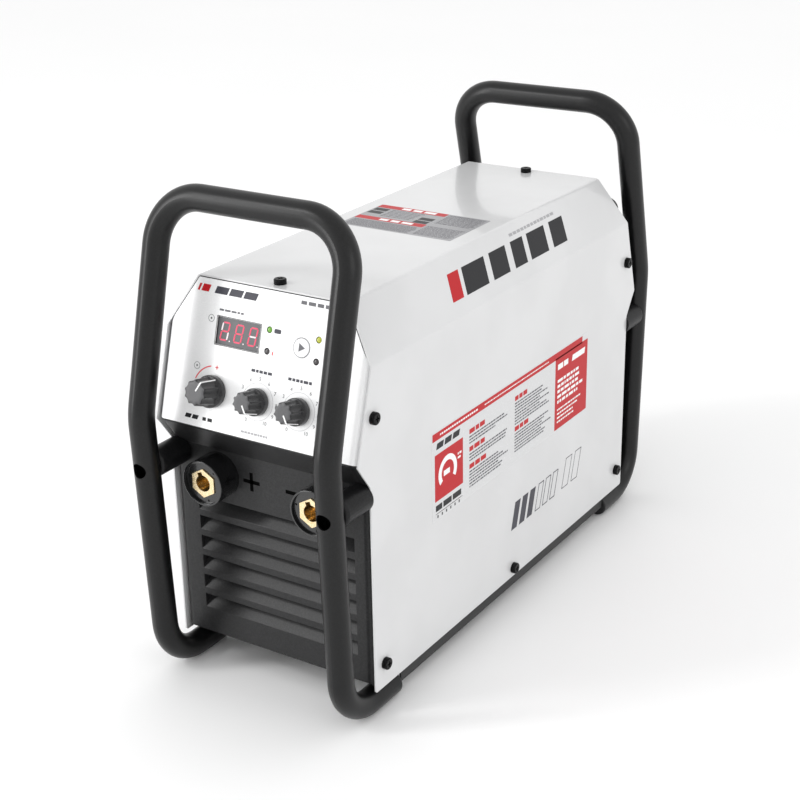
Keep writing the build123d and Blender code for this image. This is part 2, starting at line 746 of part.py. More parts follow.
for lit, name in ((True, "display_lit_bars"), (False, "display_dark_bars")):
    with BuildPart() as bars:
        with BuildSketch(display_face):
            for place, letters in enumerate(shown):
                rest = "".join(c for c in "abcdefg" if c not in letters)
                middle = (place - 1) * digit_pitch
                for corners in digit_bars(letters if lit else rest):
                    with BuildLine():
                        Polyline(*[(middle + x, y) for x, y in corners], close=True)
                    make_face()
                if not lit:
                    with Locations((middle + digit_w / 2 + point_gap, -digit_h / 2 + point_r)):
                        Circle(point_r)
        extrude(amount=segment_t)
    save(bars, name)


# ---- lamps ----
def make_lamps(places):
    with BuildPart() as lamps:
        with BuildSketch(console_plane(front, board_n)):
            with Locations(places):
                Circle(led_r)
        extrude(amount=led_proud - board_n)
        tips = edges().filter_by(GeomType.CIRCLE)
        middle = console_plane(front, (led_proud + board_n) / 2)
        fillet([e for e in tips if middle.to_local_coords(e.center()).Z > 0], led_r * 0.8)
    return lamps


left_x, right_x = led_x
upper_s, lower_s = led_s
save(make_lamps([(left_x, -upper_s)]), "power_lamp")
save(make_lamps([(right_x, -upper_s)]), "mode_lamp")
save(make_lamps([(left_x, -lower_s), (right_x, -lower_s)]), "alarm_lamps")

# ---- control board with its dial potentiometers and button switch ----
with BuildPart() as control_board:
    with BuildSketch(console_plane(front, board_n)):
        with Locations((0, -sum(board_s) / 2)):
            Rectangle(2 * board_half_w, board_s[1] - board_s[0])
            hole_in = 2 * board_hole_in
            across, along = 2 * board_half_w - hole_in, board_s[1] - board_s[0] - hole_in
            with GridLocations(across, along, 2, 2):
                Circle(standoff_r / 2, mode=Mode.SUBTRACT)
    extrude(amount=-board_t)
save(control_board, "control_board")

with BuildPart() as dial_pots:
    with BuildSketch(console_plane(front, board_n)):
        with Locations(dial_places):
            Rectangle(pot_side, pot_side)
    extrude(amount=pot_l)
    with BuildSketch(console_plane(front, board_n + pot_l)):
        with Locations(dial_places):
            Circle(bush_r)
    extrude(amount=wall_n + bush_out - board_n - pot_l)
    with BuildSketch(console_plane(front, wall_n + bush_out)):
        with Locations(dial_places):
            Circle(shaft_r + shaft_fit)
    extrude(amount=board_n - wall_n - bush_out + 2, mode=Mode.SUBTRACT)
save(dial_pots, "dial_pots")

with BuildPart() as pot_nuts:
    with BuildSketch(console_plane(front, wall_n)):
        with Locations(dial_places):
            RegularPolygon(pot_nut_af / 2, 6, major_radius=False)
            Circle(bush_r + nut_fit, mode=Mode.SUBTRACT)
    extrude(amount=pot_nut_l)
save(pot_nuts, "pot_nuts")

with BuildPart() as button_switch:
    with BuildSketch(console_plane(front, board_n)):
        with Locations((button_x, -button_s)):
            Rectangle(switch_side, switch_side)
    extrude(amount=switch_tall)
save(button_switch, "button_switch")

with BuildPart() as mode_button:
    with BuildSketch(console_plane(front, inner_n - button_gap)):
        with Locations((button_x, -button_s)):
            Circle(button_r)
    extrude(amount=button_proud - inner_n + button_gap)
    rim = edges().filter_by(GeomType.CIRCLE)
    middle = console_plane(front, wall_n)
    fillet([e for e in rim if middle.to_local_coords(e.center()).Z > 0], 0.3)
    with BuildSketch(console_plane(front, inner_n - button_gap)):
        with Locations((button_x, -button_s)):
            Circle(button_r + button_flange)
    extrude(amount=-button_flange)
    with BuildSketch(console_plane(front, inner_n - button_gap)):
        with Locations((button_x, -button_s)):
            Circle(switch_side / 3)
    extrude(amount=board_n + switch_tall + button_travel + 0.1 - inner_n + button_gap)
save(mode_button, "mode_button")


# ---- knobs: skirt, tapering fluted grip, hollow below ----
def make_knob(x, skirt_r, knob_l):
    base = console_plane(front, knob_float)
    seat = Plane(base.from_local_coords((x, -knob_s, 0)), x_dir=base.x_dir, z_dir=base.z_dir)
    grip_r, tip_r = skirt_r * grip_share, skirt_r * tip_share
    with BuildPart() as knob:
        with BuildSketch():
            Circle(skirt_r)
        extrude(amount=skirt_l)
        fillet(edges().filter_by(GeomType.CIRCLE).sort_by(Axis.Z)[-1], skirt_edge)
        with BuildSketch(Plane.XY.offset(skirt_l)):
            Circle(grip_r)
        with BuildSketch(Plane.XY.offset(knob_l)):
            Circle(tip_r)
        loft()
        lean = degrees(atan2(grip_r - tip_r, knob_l - skirt_l))
        flute_r = skirt_r * flute_share
        with PolarLocations(0, knob_flutes, start_angle=180 / knob_flutes):
            start = (grip_r + flute_r * flute_in, 0, skirt_l)
            with Locations(Location(start, (0, -lean, 0))):
                Cylinder(
                    flute_r, 1.5 * knob_l, align=(Align.CENTER, Align.CENTER, Align.MIN),
                    mode=Mode.SUBTRACT,
                )
        Cylinder(
            skirt_r - knob_rim, knob_cavity, align=(Align.CENTER, Align.CENTER, Align.MIN),
            mode=Mode.SUBTRACT,
        )
        Cylinder(
            shaft_r, knob_l - knob_rim, align=(Align.CENTER, Align.CENTER, Align.MIN),
            mode=Mode.SUBTRACT,
        )
    placed = BuildPart()
    with placed:
        add(knob.part.moved(seat.location))
    return placed


def make_shaft(x, knob_l):
    foot = board_n + 2.5
    with BuildPart() as shaft:
        with BuildSketch(console_plane(front, foot)):
            with Locations((x, -knob_s)):
                Circle(shaft_r)
        extrude(amount=knob_float + knob_l - knob_rim - foot - 0.2)
    return shaft


dials = (
    ("current", main_knob_x, main_skirt_r, main_knob_l),
    ("hot_start", small_knob_x[0], small_skirt_r, small_knob_l),
    ("arc_force", small_knob_x[1], small_skirt_r, small_knob_l),
)
for name, x, skirt_r, knob_l in dials:
    save(make_knob(x, skirt_r, knob_l), name + "_knob")
    save(make_shaft(x, knob_l), name + "_shaft")


# ---- output sockets: insulating sleeve, gloss collar, brass insert, ring nut, stud nut ----
rim_y = face_y + socket_out


def socket_plane(side, y):
    return panel_plane(front, y, panel_shift + side * socket_x, socket_h)


for side, name in ((left, "positive"), (right, "negative")):
    with BuildPart() as sleeve:
        with BuildSketch(socket_plane(side, face_y)):
            Circle(sleeve_r)
        extrude(amount=socket_out)
        rim = edges().filter_by(GeomType.CIRCLE).sort_by(Axis.Y)[0]
        fillet(rim, sleeve_edge)
        with BuildSketch(socket_plane(side, rim_y)):
            Circle(sleeve_r - sleeve_wall)
        extrude(amount=sleeve_floor - socket_out, mode=Mode.SUBTRACT)
        with BuildSketch(socket_plane(side, face_y)):
            Circle(neck_r)
        extrude(amount=-end_wall - ring_nut_l - 1)
        with BuildSketch(socket_plane(side, rim_y)):
            Circle(brass_shank_r + shaft_fit)
        extrude(amount=-socket_out - end_depth / 2, mode=Mode.SUBTRACT)
    save(sleeve, name + "_sleeve")

    with BuildPart() as insert:
        hex_l = socket_out - sleeve_floor - brass_sink
        with BuildSketch(socket_plane(side, rim_y - brass_sink)):
            RegularPolygon(brass_corner_r, 6, rotation=30)
        extrude(amount=-hex_l)
        with BuildSketch(socket_plane(side, face_y + sleeve_floor)):
            Circle(brass_shank_r)
        extrude(amount=-sleeve_floor - end_wall - brass_back)
        with BuildSketch(socket_plane(side, wall_y - brass_back)):
            Circle(stud_r)
        extrude(amount=-stud_l)
        with BuildSketch(socket_plane(side, rim_y - brass_sink)):
            Circle(plug_bore_r)
        extrude(amount=-plug_bore_l, mode=Mode.SUBTRACT)
        with BuildSketch(socket_plane(side, rim_y - brass_sink)):
            with PolarLocations(0, 1, start_angle=plug_key_turn):
                with Locations((plug_key_r / 2, 0)):
                    Rectangle(plug_key_r, plug_key_w)
        extrude(amount=-hex_l, mode=Mode.SUBTRACT)
    save(insert, name + "_insert")

with BuildPart() as socket_collars:
    collar_l = socket_out - sleeve_floor - collar_sink
    for side in (left, right):
        with BuildSketch(socket_plane(side, face_y + sleeve_floor)):
            Circle(sleeve_r - sleeve_wall - collar_gap)
            RegularPolygon(brass_corner_r + collar_gap, 6, rotation=30, mode=Mode.SUBTRACT)
        extrude(amount=collar_l)
        with BuildSketch(socket_plane(side, rim_y - collar_sink)):
            with PolarLocations(dimple_ring, dimple_count, start_angle=-75):
                Circle(dimple_r)
        extrude(amount=-dimple_r, mode=Mode.SUBTRACT)
save(socket_collars, "socket_collars")

with BuildPart() as socket_ring_nuts:
    for side in (left, right):
        with BuildSketch(socket_plane(side, wall_y)):
            RegularPolygon(ring_nut_r, 6)
            Circle(neck_r + nut_fit, mode=Mode.SUBTRACT)
        extrude(amount=-ring_nut_l)
save(socket_ring_nuts, "socket_ring_nuts")

with BuildPart() as stud_nuts:
    for side in (left, right):
        with BuildSketch(socket_plane(side, wall_y - brass_back - bar_t)):
            RegularPolygon(stud_nut_r, 6)
            Circle(stud_r + nut_fit, mode=Mode.SUBTRACT)
        extrude(amount=-stud_nut_l)
save(stud_nuts, "stud_nuts")

# ---- rear moulding: the same shell with the fan opening, switch and cable entry ----
fan_at = panel_plane(rear, face_y + 1, 0, fan_h)
with BuildPart() as rear_bezel:
    add(end_shell(rear))
    with BuildSketch(fan_at):
        Circle(fan_bore_r)
        with GridLocations(fan_hole_pitch, fan_hole_pitch, 2, 2):
            Circle(fan_screw_hole_r)
    extrude(amount=-end_wall - 2, mode=Mode.SUBTRACT)
    with BuildSketch(console_rear):
        with Locations((rocker_x, -rocker_s)):
            Rectangle(rocker_w + 2 * rocker_gap, rocker_l + 2 * rocker_gap)
        with Locations((gland_x, -gland_s)):
            Circle(gland_thread_r + gland_hole_gap)
    extrude(amount=inner_n - 1, mode=Mode.SUBTRACT)
save(rear_bezel, "rear_bezel")

# ---- fan ----
fan_out = wall_y - fan_gap
strut_y = fan_out - fan_l
with BuildPart() as fan_frame:
    with BuildSketch(panel_plane(rear, fan_out, 0, fan_h)):
        RectangleRounded(fan_side, fan_side, fan_corner_r)
        Circle(fan_bore_r, mode=Mode.SUBTRACT)
        with GridLocations(fan_hole_pitch, fan_hole_pitch, 2, 2):
            Circle(fan_screw_hole_r, mode=Mode.SUBTRACT)
    extrude(amount=-fan_l)
    with BuildSketch(panel_plane(rear, strut_y, 0, fan_h)):
        Circle(fan_boss_r)
        with PolarLocations(0, 4, start_angle=45):
            with Locations((fan_bore_r / 2, 0)):
                Rectangle(fan_bore_r + 2, fan_strut_w)
    extrude(amount=fan_boss_l)
    with BuildSketch(panel_plane(rear, strut_y, 0, fan_h)):
        Circle(spindle_r)
    extrude(amount=fan_boss_l, mode=Mode.SUBTRACT)
save(fan_frame, "fan_frame")

hub_y = strut_y + fan_boss_l + hub_gap
with BuildPart() as fan_rotor:
    with BuildSketch(panel_plane(rear, hub_y, 0, fan_h)):
        Circle(fan_hub_r)
    extrude(amount=fan_hub_l)
    rim = edges().filter_by(GeomType.CIRCLE).sort_by(Axis.Y)[-1]
    fillet(rim, hub_edge)
    blade_reach = fan_bore_r - fan_tip_gap
    blade_w = 2 * fan_hub_l
    hub_middle = panel_plane(rear, hub_y + fan_hub_l / 2, 0, fan_h)
    blade = Solid.make_box(blade_reach, blade_w, blade_thick)
    blade = blade.moved(Location((fan_hub_r / 2, -blade_w / 2, -blade_thick / 2)))
    for k in range(fan_blades):
        turn = Location((0, 0, 0), (0, 0, 360 / fan_blades * k))
        tip = Location((0, 0, 0), (blade_twist, 0, 0))
        add(blade.moved(hub_middle.location * turn * tip))
    with BuildSketch(panel_plane(rear, hub_y, 0, fan_h)):
        Circle(blade_reach)
    extrude(amount=fan_hub_l, mode=Mode.INTERSECT)
    with BuildSketch(panel_plane(rear, hub_y, 0, fan_h)):
        Circle(spindle_r + spindle_fit)
    extrude(amount=fan_hub_l * hub_bore_share, mode=Mode.SUBTRACT)
save(fan_rotor, "fan_rotor")

with BuildPart() as fan_spindle:
    with BuildSketch(panel_plane(rear, strut_y, 0, fan_h)):
        Circle(spindle_r)
    extrude(amount=fan_boss_l + hub_gap + fan_hub_l * hub_bore_share - spindle_gap)
save(fan_spindle, "fan_spindle")

guard_y = face_y + wire_r
ring_step = (fan_bore_r - guard_edge_gap) / guard_rings
with BuildPart() as fan_guard:
    for k in range(guard_rings):
        ring_r = ring_step * (k + 1)
        with BuildSketch(Plane(origin=(ring_r, guard_y, z_at(fan_h)), z_dir=(0, 0, 1))):
            Circle(wire_r)
        revolve(axis=Axis((0, guard_y, z_at(fan_h)), (0, 1, 0)))
    eye_ring = fan_hole_pitch / sqrt(2)
    spoke_start = ring_step - wire_r / 2
    for k in range(4):
        angle = pi / 4 + k * pi / 2
        spoke = Vector(cos(angle), 0, sin(angle))
        centre = Vector(0, guard_y + wire_r - guard_sink, z_at(fan_h))
        with BuildSketch(Plane(origin=centre + spoke * spoke_start, z_dir=spoke)):
            Circle(wire_r)
        extrude(amount=eye_ring - spoke_start - guard_eye_r + guard_weld)
        eye = Vector(0, face_y, z_at(fan_h)) + spoke * eye_ring
        with BuildSketch(Plane(origin=eye, x_dir=(1, 0, 0), z_dir=(0, 1, 0))):
            Circle(guard_eye_r)
            Circle(fan_screw_hole_r, mode=Mode.SUBTRACT)
        extrude(amount=2 * wire_r)
save(fan_guard, "fan_guard")

with BuildPart() as fan_screws:
    screw_len = fan_l + end_wall + fan_screw_end
    screw = pan_head_screw(fan_screw_head_r, fan_screw_head_l, fan_screw_r, screw_len, 0.8)
    seat = panel_plane(rear, face_y + 2 * wire_r, 0, fan_h)
    for x in (-fan_hole_pitch / 2, fan_hole_pitch / 2):
        for y in (-fan_hole_pitch / 2, fan_hole_pitch / 2):
            add(screw.moved(seat.location * Location((x, y, 0))))
save(fan_screws, "fan_screws")

# ---- mains switch: framed body, rocker and its pin ----
switch_seat = console_plane(rear, -film_t)
switch_at = Plane(
    switch_seat.from_local_coords((rocker_x, -rocker_s, 0)),
    x_dir=switch_seat.x_dir, z_dir=switch_seat.z_dir,
)
cave_w = rocker_w - 2 * rocker_wall
cave_l = rocker_l - 2 * rocker_wall
with BuildPart() as switch_body:
    with BuildSketch(switch_at):
        RectangleRounded(rocker_w + 2 * rocker_frame, rocker_l + 2 * rocker_frame, 1.5)
    extrude(amount=rocker_frame_t)
    with BuildSketch(switch_at):
        Rectangle(rocker_w, rocker_l)
    extrude(amount=-rocker_body_deep)
    with BuildSketch(switch_at.offset(rocker_frame_t)):
        Rectangle(cave_w, cave_l)
    extrude(amount=-rocker_body_deep * 0.6, mode=Mode.SUBTRACT)
    with BuildSketch(Plane(switch_at.origin, x_dir=switch_at.z_dir, z_dir=switch_at.x_dir)):
        Circle(rocker_pin_r)
    extrude(amount=rocker_w / 2 - rocker_wall / 2, both=True, mode=Mode.SUBTRACT)
save(switch_body, "switch_body")

rocker_axis = Plane(switch_at.origin, x_dir=switch_at.y_dir, z_dir=switch_at.x_dir)
half_l = cave_l / 2 - rocker_end_gap
with BuildPart() as switch_rocker:
    with BuildSketch(rocker_axis):
        with BuildLine():
            Polyline(
                (-half_l, rocker_rise), (0, rocker_dip), (half_l, rocker_rise),
                (half_l - rocker_gap, -rocker_chin), (rocker_heel_w, -rocker_belly),
                (-rocker_heel_w, -rocker_belly), (-half_l + rocker_gap, -rocker_chin),
                close=True,
            )
        make_face()
        Circle(rocker_pin_r + spindle_fit, mode=Mode.SUBTRACT)
    extrude(amount=cave_w / 2 - rocker_gap, both=True)
switch_rocker.part = switch_rocker.part.rotate(
    Axis(switch_at.origin, switch_at.x_dir), rocker_tilt
)
save(switch_rocker, "switch_rocker")

with BuildPart() as switch_pin:
    with BuildSketch(rocker_axis):
        Circle(rocker_pin_r)
    extrude(amount=rocker_w / 2 - rocker_wall / 2, both=True)
save(switch_pin, "switch_pin")

# ---- cable entry: gland body, cap, seal and locknut ----
gland_at = Plane(
    switch_seat.from_local_coords((gland_x, -gland_s, 0)),
    x_dir=switch_seat.x_dir, z_dir=switch_seat.z_dir,
)
hex_r = gland_af / 2 / cos(pi / 6)
seal_l = gland_cap_l * gland_seal_share
cap_hex_l = gland_cap_l * gland_hex_share
cap_r = hex_r - gland_cap_in
with BuildPart() as gland_body:
    with BuildSketch(gland_at):
        RegularPolygon(hex_r, 6)
    extrude(amount=gland_flange_l)
    with BuildSketch(gland_at):
        Circle(gland_thread_r)
    extrude(amount=-gland_inside_l - end_wall)
    with BuildSketch(gland_at.offset(gland_flange_l)):
        Circle(gland_bore_r)
    extrude(amount=-gland_flange_l - gland_inside_l - end_wall, mode=Mode.SUBTRACT)
save(gland_body, "gland_body")

with BuildPart() as gland_cap:
    with BuildSketch(gland_at.offset(gland_flange_l)):
        RegularPolygon(cap_r, 6)
    extrude(amount=cap_hex_l)
    with BuildSketch(gland_at.offset(gland_flange_l + cap_hex_l)):
        Circle(cap_r * cos(pi / 6) - gland_cap_in / 2)
    with BuildSketch(gland_at.offset(gland_flange_l + gland_cap_l)):
        Circle(gland_bore_r + gland_cap_nose)
    loft()
    with BuildSketch(gland_at.offset(gland_flange_l)):
        Circle(gland_seal_r)
    extrude(amount=seal_l, mode=Mode.SUBTRACT)
    with BuildSketch(gland_at.offset(gland_flange_l)):
        Circle(gland_bore_r)
    extrude(amount=gland_cap_l, mode=Mode.SUBTRACT)
save(gland_cap, "gland_cap")

with BuildPart() as gland_seal:
    with BuildSketch(gland_at.offset(gland_flange_l)):
        Circle(gland_seal_r - cap_fit)
        Circle(gland_bore_r, mode=Mode.SUBTRACT)
    extrude(amount=seal_l)
save(gland_seal, "gland_seal")

with BuildPart() as gland_locknut:
    with BuildSketch(gland_at.offset(-end_wall)):
        RegularPolygon(hex_r, 6)
        Circle(gland_thread_r + nut_fit, mode=Mode.SUBTRACT)
    extrude(amount=-gland_locknut_l)
save(gland_locknut, "gland_locknut")

# ---- inner tray on the base plate ----
tray_front, tray_back = tray_y
tray_mid, tray_len = (tray_front + tray_back) / 2, tray_back - tray_front
floor_z = z_at(base_top_h)
standoff_grid = (2 * (tray_half_w - standoff_in), tray_len / 2 - standoff_in)
with BuildPart() as inner_tray:
    with BuildSketch(Plane.XZ.offset(-tray_back)):
        with BuildLine():
            Polyline(
                (-tray_half_w - tray_foot, floor_z + tray_t / 2),
                (-tray_half_w, floor_z + tray_t / 2), (-tray_half_w, z_at(tray_h)),
                (tray_half_w, z_at(tray_h)), (tray_half_w, floor_z + tray_t / 2),
                (tray_half_w + tray_foot, floor_z + tray_t / 2),
            )
        trace(line_width=tray_t)
    extrude(amount=tray_len)
    with BuildSketch(Plane.XY.offset(z_at(tray_h) + tray_t)):
        with Locations((0, tray_mid)):
            with GridLocations(*standoff_grid, 2, 3):
                Circle(standoff_hole_r)
    extrude(amount=-2 * tray_t, mode=Mode.SUBTRACT)
save(inner_tray, "inner_tray")

deck_z = z_at(tray_h) + tray_t / 2
with BuildPart() as standoffs:
    with BuildSketch(Plane.XY.offset(deck_z)):
        with Locations((0, tray_mid)):
            with GridLocations(*standoff_grid, 2, 3):
                RegularPolygon(standoff_r, 6)
    extrude(amount=standoff_l)
save(standoffs, "standoffs")

board_z = deck_z + standoff_l
with BuildPart() as power_board:
    with BuildSketch(Plane.XY.offset(board_z)):
        with Locations((0, tray_mid)):
            Rectangle(2 * (tray_half_w - tray_end_gap), tray_len - 2 * tray_end_gap)
    extrude(amount=power_board_t)
save(power_board, "power_board")

sink_z = board_z + power_board_t
sink_mid, sink_len = sum(sink_y) / 2, sink_y[1] - sink_y[0]
base_x = sink_x - sink_w / 2 + sink_base / 2
fin_step = (sink_tall - fin_t) / (sink_fins - 1)
with BuildPart() as heatsinks:
    for side in (left, right):
        with BuildSketch(Plane.XZ.offset(-sink_y[1])):
            with Locations((side * base_x, sink_z + sink_tall / 2)):
                Rectangle(sink_base, sink_tall)
            with Locations((side * sink_x, sink_z + sink_tall / 2)):
                with GridLocations(1, fin_step, 1, sink_fins):
                    Rectangle(sink_w, fin_t)
        extrude(amount=sink_len)
save(heatsinks, "heatsinks")

chip_x = sink_x - sink_w / 2 - chip_t / 2
chip_step = sink_len / chip_count
with BuildPart() as power_transistors:
    for side in (left, right):
        with BuildSketch(Plane.XY.offset(sink_z + chip_lift)):
            with Locations((side * chip_x, sink_mid)):
                with GridLocations(1, chip_step, 1, chip_count):
                    Rectangle(chip_t, chip_w)
        extrude(amount=chip_tall)
save(power_transistors, "power_transistors")

with BuildPart() as capacitors:
    with BuildSketch(Plane.XY.offset(sink_z)):
        with Locations((0, sink_mid)):
            with GridLocations(1, can_pitch, 1, 3):
                Circle(can_r)
    extrude(amount=can_l)
    fillet(edges().filter_by(GeomType.CIRCLE).group_by(Axis.Z)[-1], can_edge)
save(capacitors, "capacitors")

# ---- transformer and output choke under the tray ----
core_mid = Plane(origin=(0, core_y, floor_z), x_dir=(1, 0, 0), z_dir=(0, -1, 0))
window_w = (core_w - core_leg) / 2 - core_rim
window_tall = core_tall - 2 * core_rim
window_x = core_leg / 2 + window_w / 2
with BuildPart() as transformer_core:
    with BuildSketch(core_mid):
        with Locations((0, core_tall / 2)):
            Rectangle(core_w, core_tall)
            with Locations((-window_x, 0), (window_x, 0)):
                Rectangle(window_w, window_tall, mode=Mode.SUBTRACT)
    extrude(amount=core_l / 2, both=True)
save(transformer_core, "transformer_core")

with BuildPart() as transformer_coil:
    with BuildSketch(Plane.XY.offset(floor_z + core_rim + coil_gap)):
        with Locations((0, core_y)):
            outer_w = core_leg + 2 * (window_w - coil_gap)
            RectangleRounded(outer_w, core_l + 2 * (window_w - coil_gap), coil_corner_r)
            Rectangle(core_leg + 2 * coil_gap, core_l + 2 * coil_gap, mode=Mode.SUBTRACT)
    extrude(amount=window_tall - 2 * coil_gap)
save(transformer_coil, "transformer_coil")

choke_z = floor_z + choke_r + coil_gap + winding_t
choke_centre = Vector(0, choke_y, choke_z)
with BuildPart() as choke_core:
    with BuildSketch(Plane(origin=choke_centre, x_dir=(1, 0, 0), z_dir=(0, -1, 0))):
        Circle(choke_r)
        Circle(choke_hole_r, mode=Mode.SUBTRACT)
    extrude(amount=choke_l / 2, both=True)
save(choke_core, "choke_core")

# Each turn is a square loop round the ring, in the plane of the ring's axis and a radius.
loop_w = choke_r - choke_hole_r + 2 * coil_gap
loop_l = choke_l + 2 * coil_gap
with BuildPart() as choke_coil:
    for k in range(winding_turns):
        angle = 2 * pi / winding_turns * k
        radius = Vector(cos(angle), 0, sin(angle))
        along = Vector(-sin(angle), 0, cos(angle))
        centre = choke_centre + radius * (choke_r + choke_hole_r) / 2
        with BuildSketch(Plane(origin=centre, x_dir=radius, z_dir=along)):
            Rectangle(loop_w + winding_t, loop_l + winding_t)
            Rectangle(loop_w, loop_l, mode=Mode.SUBTRACT)
        extrude(amount=winding_t / 2, both=True)
save(choke_coil, "choke_coil")

# ---- copper bars from the sockets down to the power board ----
tab_y = wall_y - brass_back - bar_t / 2
bar_low = z_at(socket_h) - bar_w
bar_end = tray_front + bar_end_in
with BuildPart() as busbars:
    for side in (left, right):
        bar_x = panel_shift + side * socket_x
        with BuildSketch(Plane.YZ.offset(bar_x)):
            with BuildLine():
                Polyline(
                    (-tab_y, z_at(socket_h) + bar_w / 2), (-tab_y, bar_low), (bar_end, bar_low),
                    (bar_end, sink_z + bar_t / 2), (bar_end + bar_w, sink_z + bar_t / 2),
                )
            trace(line_width=bar_t)
        extrude(amount=bar_w / 2, both=True)
        with BuildSketch(panel_plane(front, tab_y + bar_t, bar_x, socket_h)):
            Circle(stud_r + nut_fit)
        extrude(amount=-3 * bar_t, mode=Mode.SUBTRACT)
save(busbars, "busbars")
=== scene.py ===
import json
import math

import bpy
import numpy as np
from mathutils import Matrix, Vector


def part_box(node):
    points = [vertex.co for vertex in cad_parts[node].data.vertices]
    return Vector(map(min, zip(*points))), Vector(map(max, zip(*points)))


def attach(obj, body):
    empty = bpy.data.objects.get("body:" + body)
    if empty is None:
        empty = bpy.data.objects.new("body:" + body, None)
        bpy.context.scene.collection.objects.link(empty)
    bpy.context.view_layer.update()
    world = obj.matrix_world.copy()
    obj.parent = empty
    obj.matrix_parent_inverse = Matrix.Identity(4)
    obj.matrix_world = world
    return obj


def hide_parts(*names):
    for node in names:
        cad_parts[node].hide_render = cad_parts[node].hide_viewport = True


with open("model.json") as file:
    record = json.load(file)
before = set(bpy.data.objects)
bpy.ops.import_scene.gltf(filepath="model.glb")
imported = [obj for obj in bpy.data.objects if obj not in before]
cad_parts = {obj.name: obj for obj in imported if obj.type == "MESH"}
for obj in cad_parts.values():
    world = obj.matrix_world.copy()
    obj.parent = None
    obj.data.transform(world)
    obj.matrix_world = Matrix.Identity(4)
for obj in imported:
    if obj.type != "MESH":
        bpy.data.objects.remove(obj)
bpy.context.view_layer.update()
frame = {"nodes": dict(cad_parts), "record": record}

mm = 0.001
record = frame["record"]
joints = {joint["name"]: joint for joint in record["behaviour"]["joints"]}
mounts = {mount["name"]: mount for mount in record["mounts"]}
print("stage: frame loaded")


class Sock:
    # one shader socket; arithmetic on it adds Math nodes
    def __init__(self, finish, socket):
        self.finish, self.socket = finish, socket

    def op(self, operation, *others):
        return self.finish.math(operation, self, *others)

    def __add__(self, other):
        return self.op("ADD", other)

    def __radd__(self, other):
        return self.op("ADD", other)

    def __sub__(self, other):
        return self.op("SUBTRACT", other)

    def __rsub__(self, other):
        return self.finish.math("SUBTRACT", other, self)

    def __mul__(self, other):
        return self.op("MULTIPLY", other)

    def __rmul__(self, other):
        return self.op("MULTIPLY", other)

    def ease(self, low, high):
        # 0 below low, 1 above high, smooth between
        settings = {"interpolation_type": "SMOOTHSTEP"}
        sockets = {"Value": self, "From Min": low, "From Max": high}
        return self.finish.add("ShaderNodeMapRange", settings, sockets)


class Finish:
    # one material; constants go straight on the shader's own sockets
    def __init__(self, name, **constants):
        self.material = bpy.data.materials.new(name)
        self.material.use_nodes = True
        self.tree = self.material.node_tree
        self.tree.nodes.clear()
        output = self.tree.nodes.new("ShaderNodeOutputMaterial")
        self.shader = self.tree.nodes.new("ShaderNodeBsdfPrincipled")
        self.tree.links.new(self.shader.outputs[0], output.inputs["Surface"])
        for key, value in constants.items():
            self.shader.inputs[key.replace("_", " ")].default_value = value
        self.place = self.add("ShaderNodeTexCoord", {}, {}, "Object")

    def add(self, kind, settings, sockets, output=0):
        node = self.tree.nodes.new(kind)
        for key, value in settings.items():
            setattr(node, key, value)
        for key, value in sockets.items():
            self.feed(node.inputs[key], value)
        return Sock(self, node.outputs[output])

    def feed(self, target, value):
        if isinstance(value, Sock):
            self.tree.links.new(value.socket, target)
        else:
            target.default_value = value

    def math(self, operation, *values):
        return self.add("ShaderNodeMath", {"operation": operation}, dict(enumerate(values)))

    def noise(self, size, detail=2.0, roughness=0.5, stretch=(1, 1, 1)):
        # cloud of this grain size in mm, about 0.5
        vector = self.place
        if stretch != (1, 1, 1):
            vector = self.add("ShaderNodeMapping", {}, {"Vector": vector, "Scale": stretch})
        sockets = {"Vector": vector, "Scale": 1 / (size * mm), "Detail": detail, "Roughness": roughness}
        return self.add("ShaderNodeTexNoise", {}, sockets)

    def colour(self, first, second, share):
        sockets = {0: share, 6: (*first, 1), 7: (*second, 1)}
        return self.add("ShaderNodeMix", {"data_type": "RGBA"}, sockets, 2)

    def set(self, key, value):
        self.feed(self.shader.inputs[key], value)

    def bump(self, height, depth):
        # relief of this depth in mm
        self.set("Normal", self.add("ShaderNodeBump", {}, {"Height": height, "Distance": depth * mm}))


def coverPaint():
    paint = Finish("whiteCoverPaint", Coat_Roughness=0.05, Specular_IOR_Level=0.5)
    broad = paint.noise(90, 3)
    pale, paler = (0.645, 0.647, 0.652), (0.68, 0.682, 0.687)
    paint.set("Base Color", paint.colour(pale, paler, broad.ease(0.35, 0.65)))
    paint.set("Roughness", 0.2 + 0.08 * paint.noise(14, 3))
    paint.set("Coat Weight", 0.35 + 0.2 * broad)
    paint.bump(paint.noise(2.2, 1), 0.012)
    return paint.material


def texturedBlack(name, dark, light, grain, depth, rough, **constants):
    # fine-grained black: two sizes of relief, lighter on the high spots
    black = Finish(name, **constants)
    fine, coarse = black.noise(grain, 2), black.noise(grain * 3.1, 2)
    high = (0.65 * fine + 0.35 * coarse).ease(0.35, 0.72)
    black.set("Base Color", black.colour(dark, light, high))
    black.set("Roughness", rough + 0.12 * (coarse - 0.5) - 0.08 * high)
    black.bump(0.6 * fine + 0.4 * coarse, depth)
    return black.material


def glossBlack(name, tint, rough):
    gloss = Finish(name, Coat_Roughness=0.06)
    cloud = gloss.noise(6, 3)
    gloss.set("Base Color", gloss.colour(tint, tuple(1.5 * part for part in tint), cloud))
    gloss.set("Roughness", rough + 0.1 * (cloud - 0.5))
    gloss.set("Coat Weight", 0.4 + 0.2 * cloud)
    gloss.bump(gloss.noise(0.8, 1), 0.006)
    return gloss.material


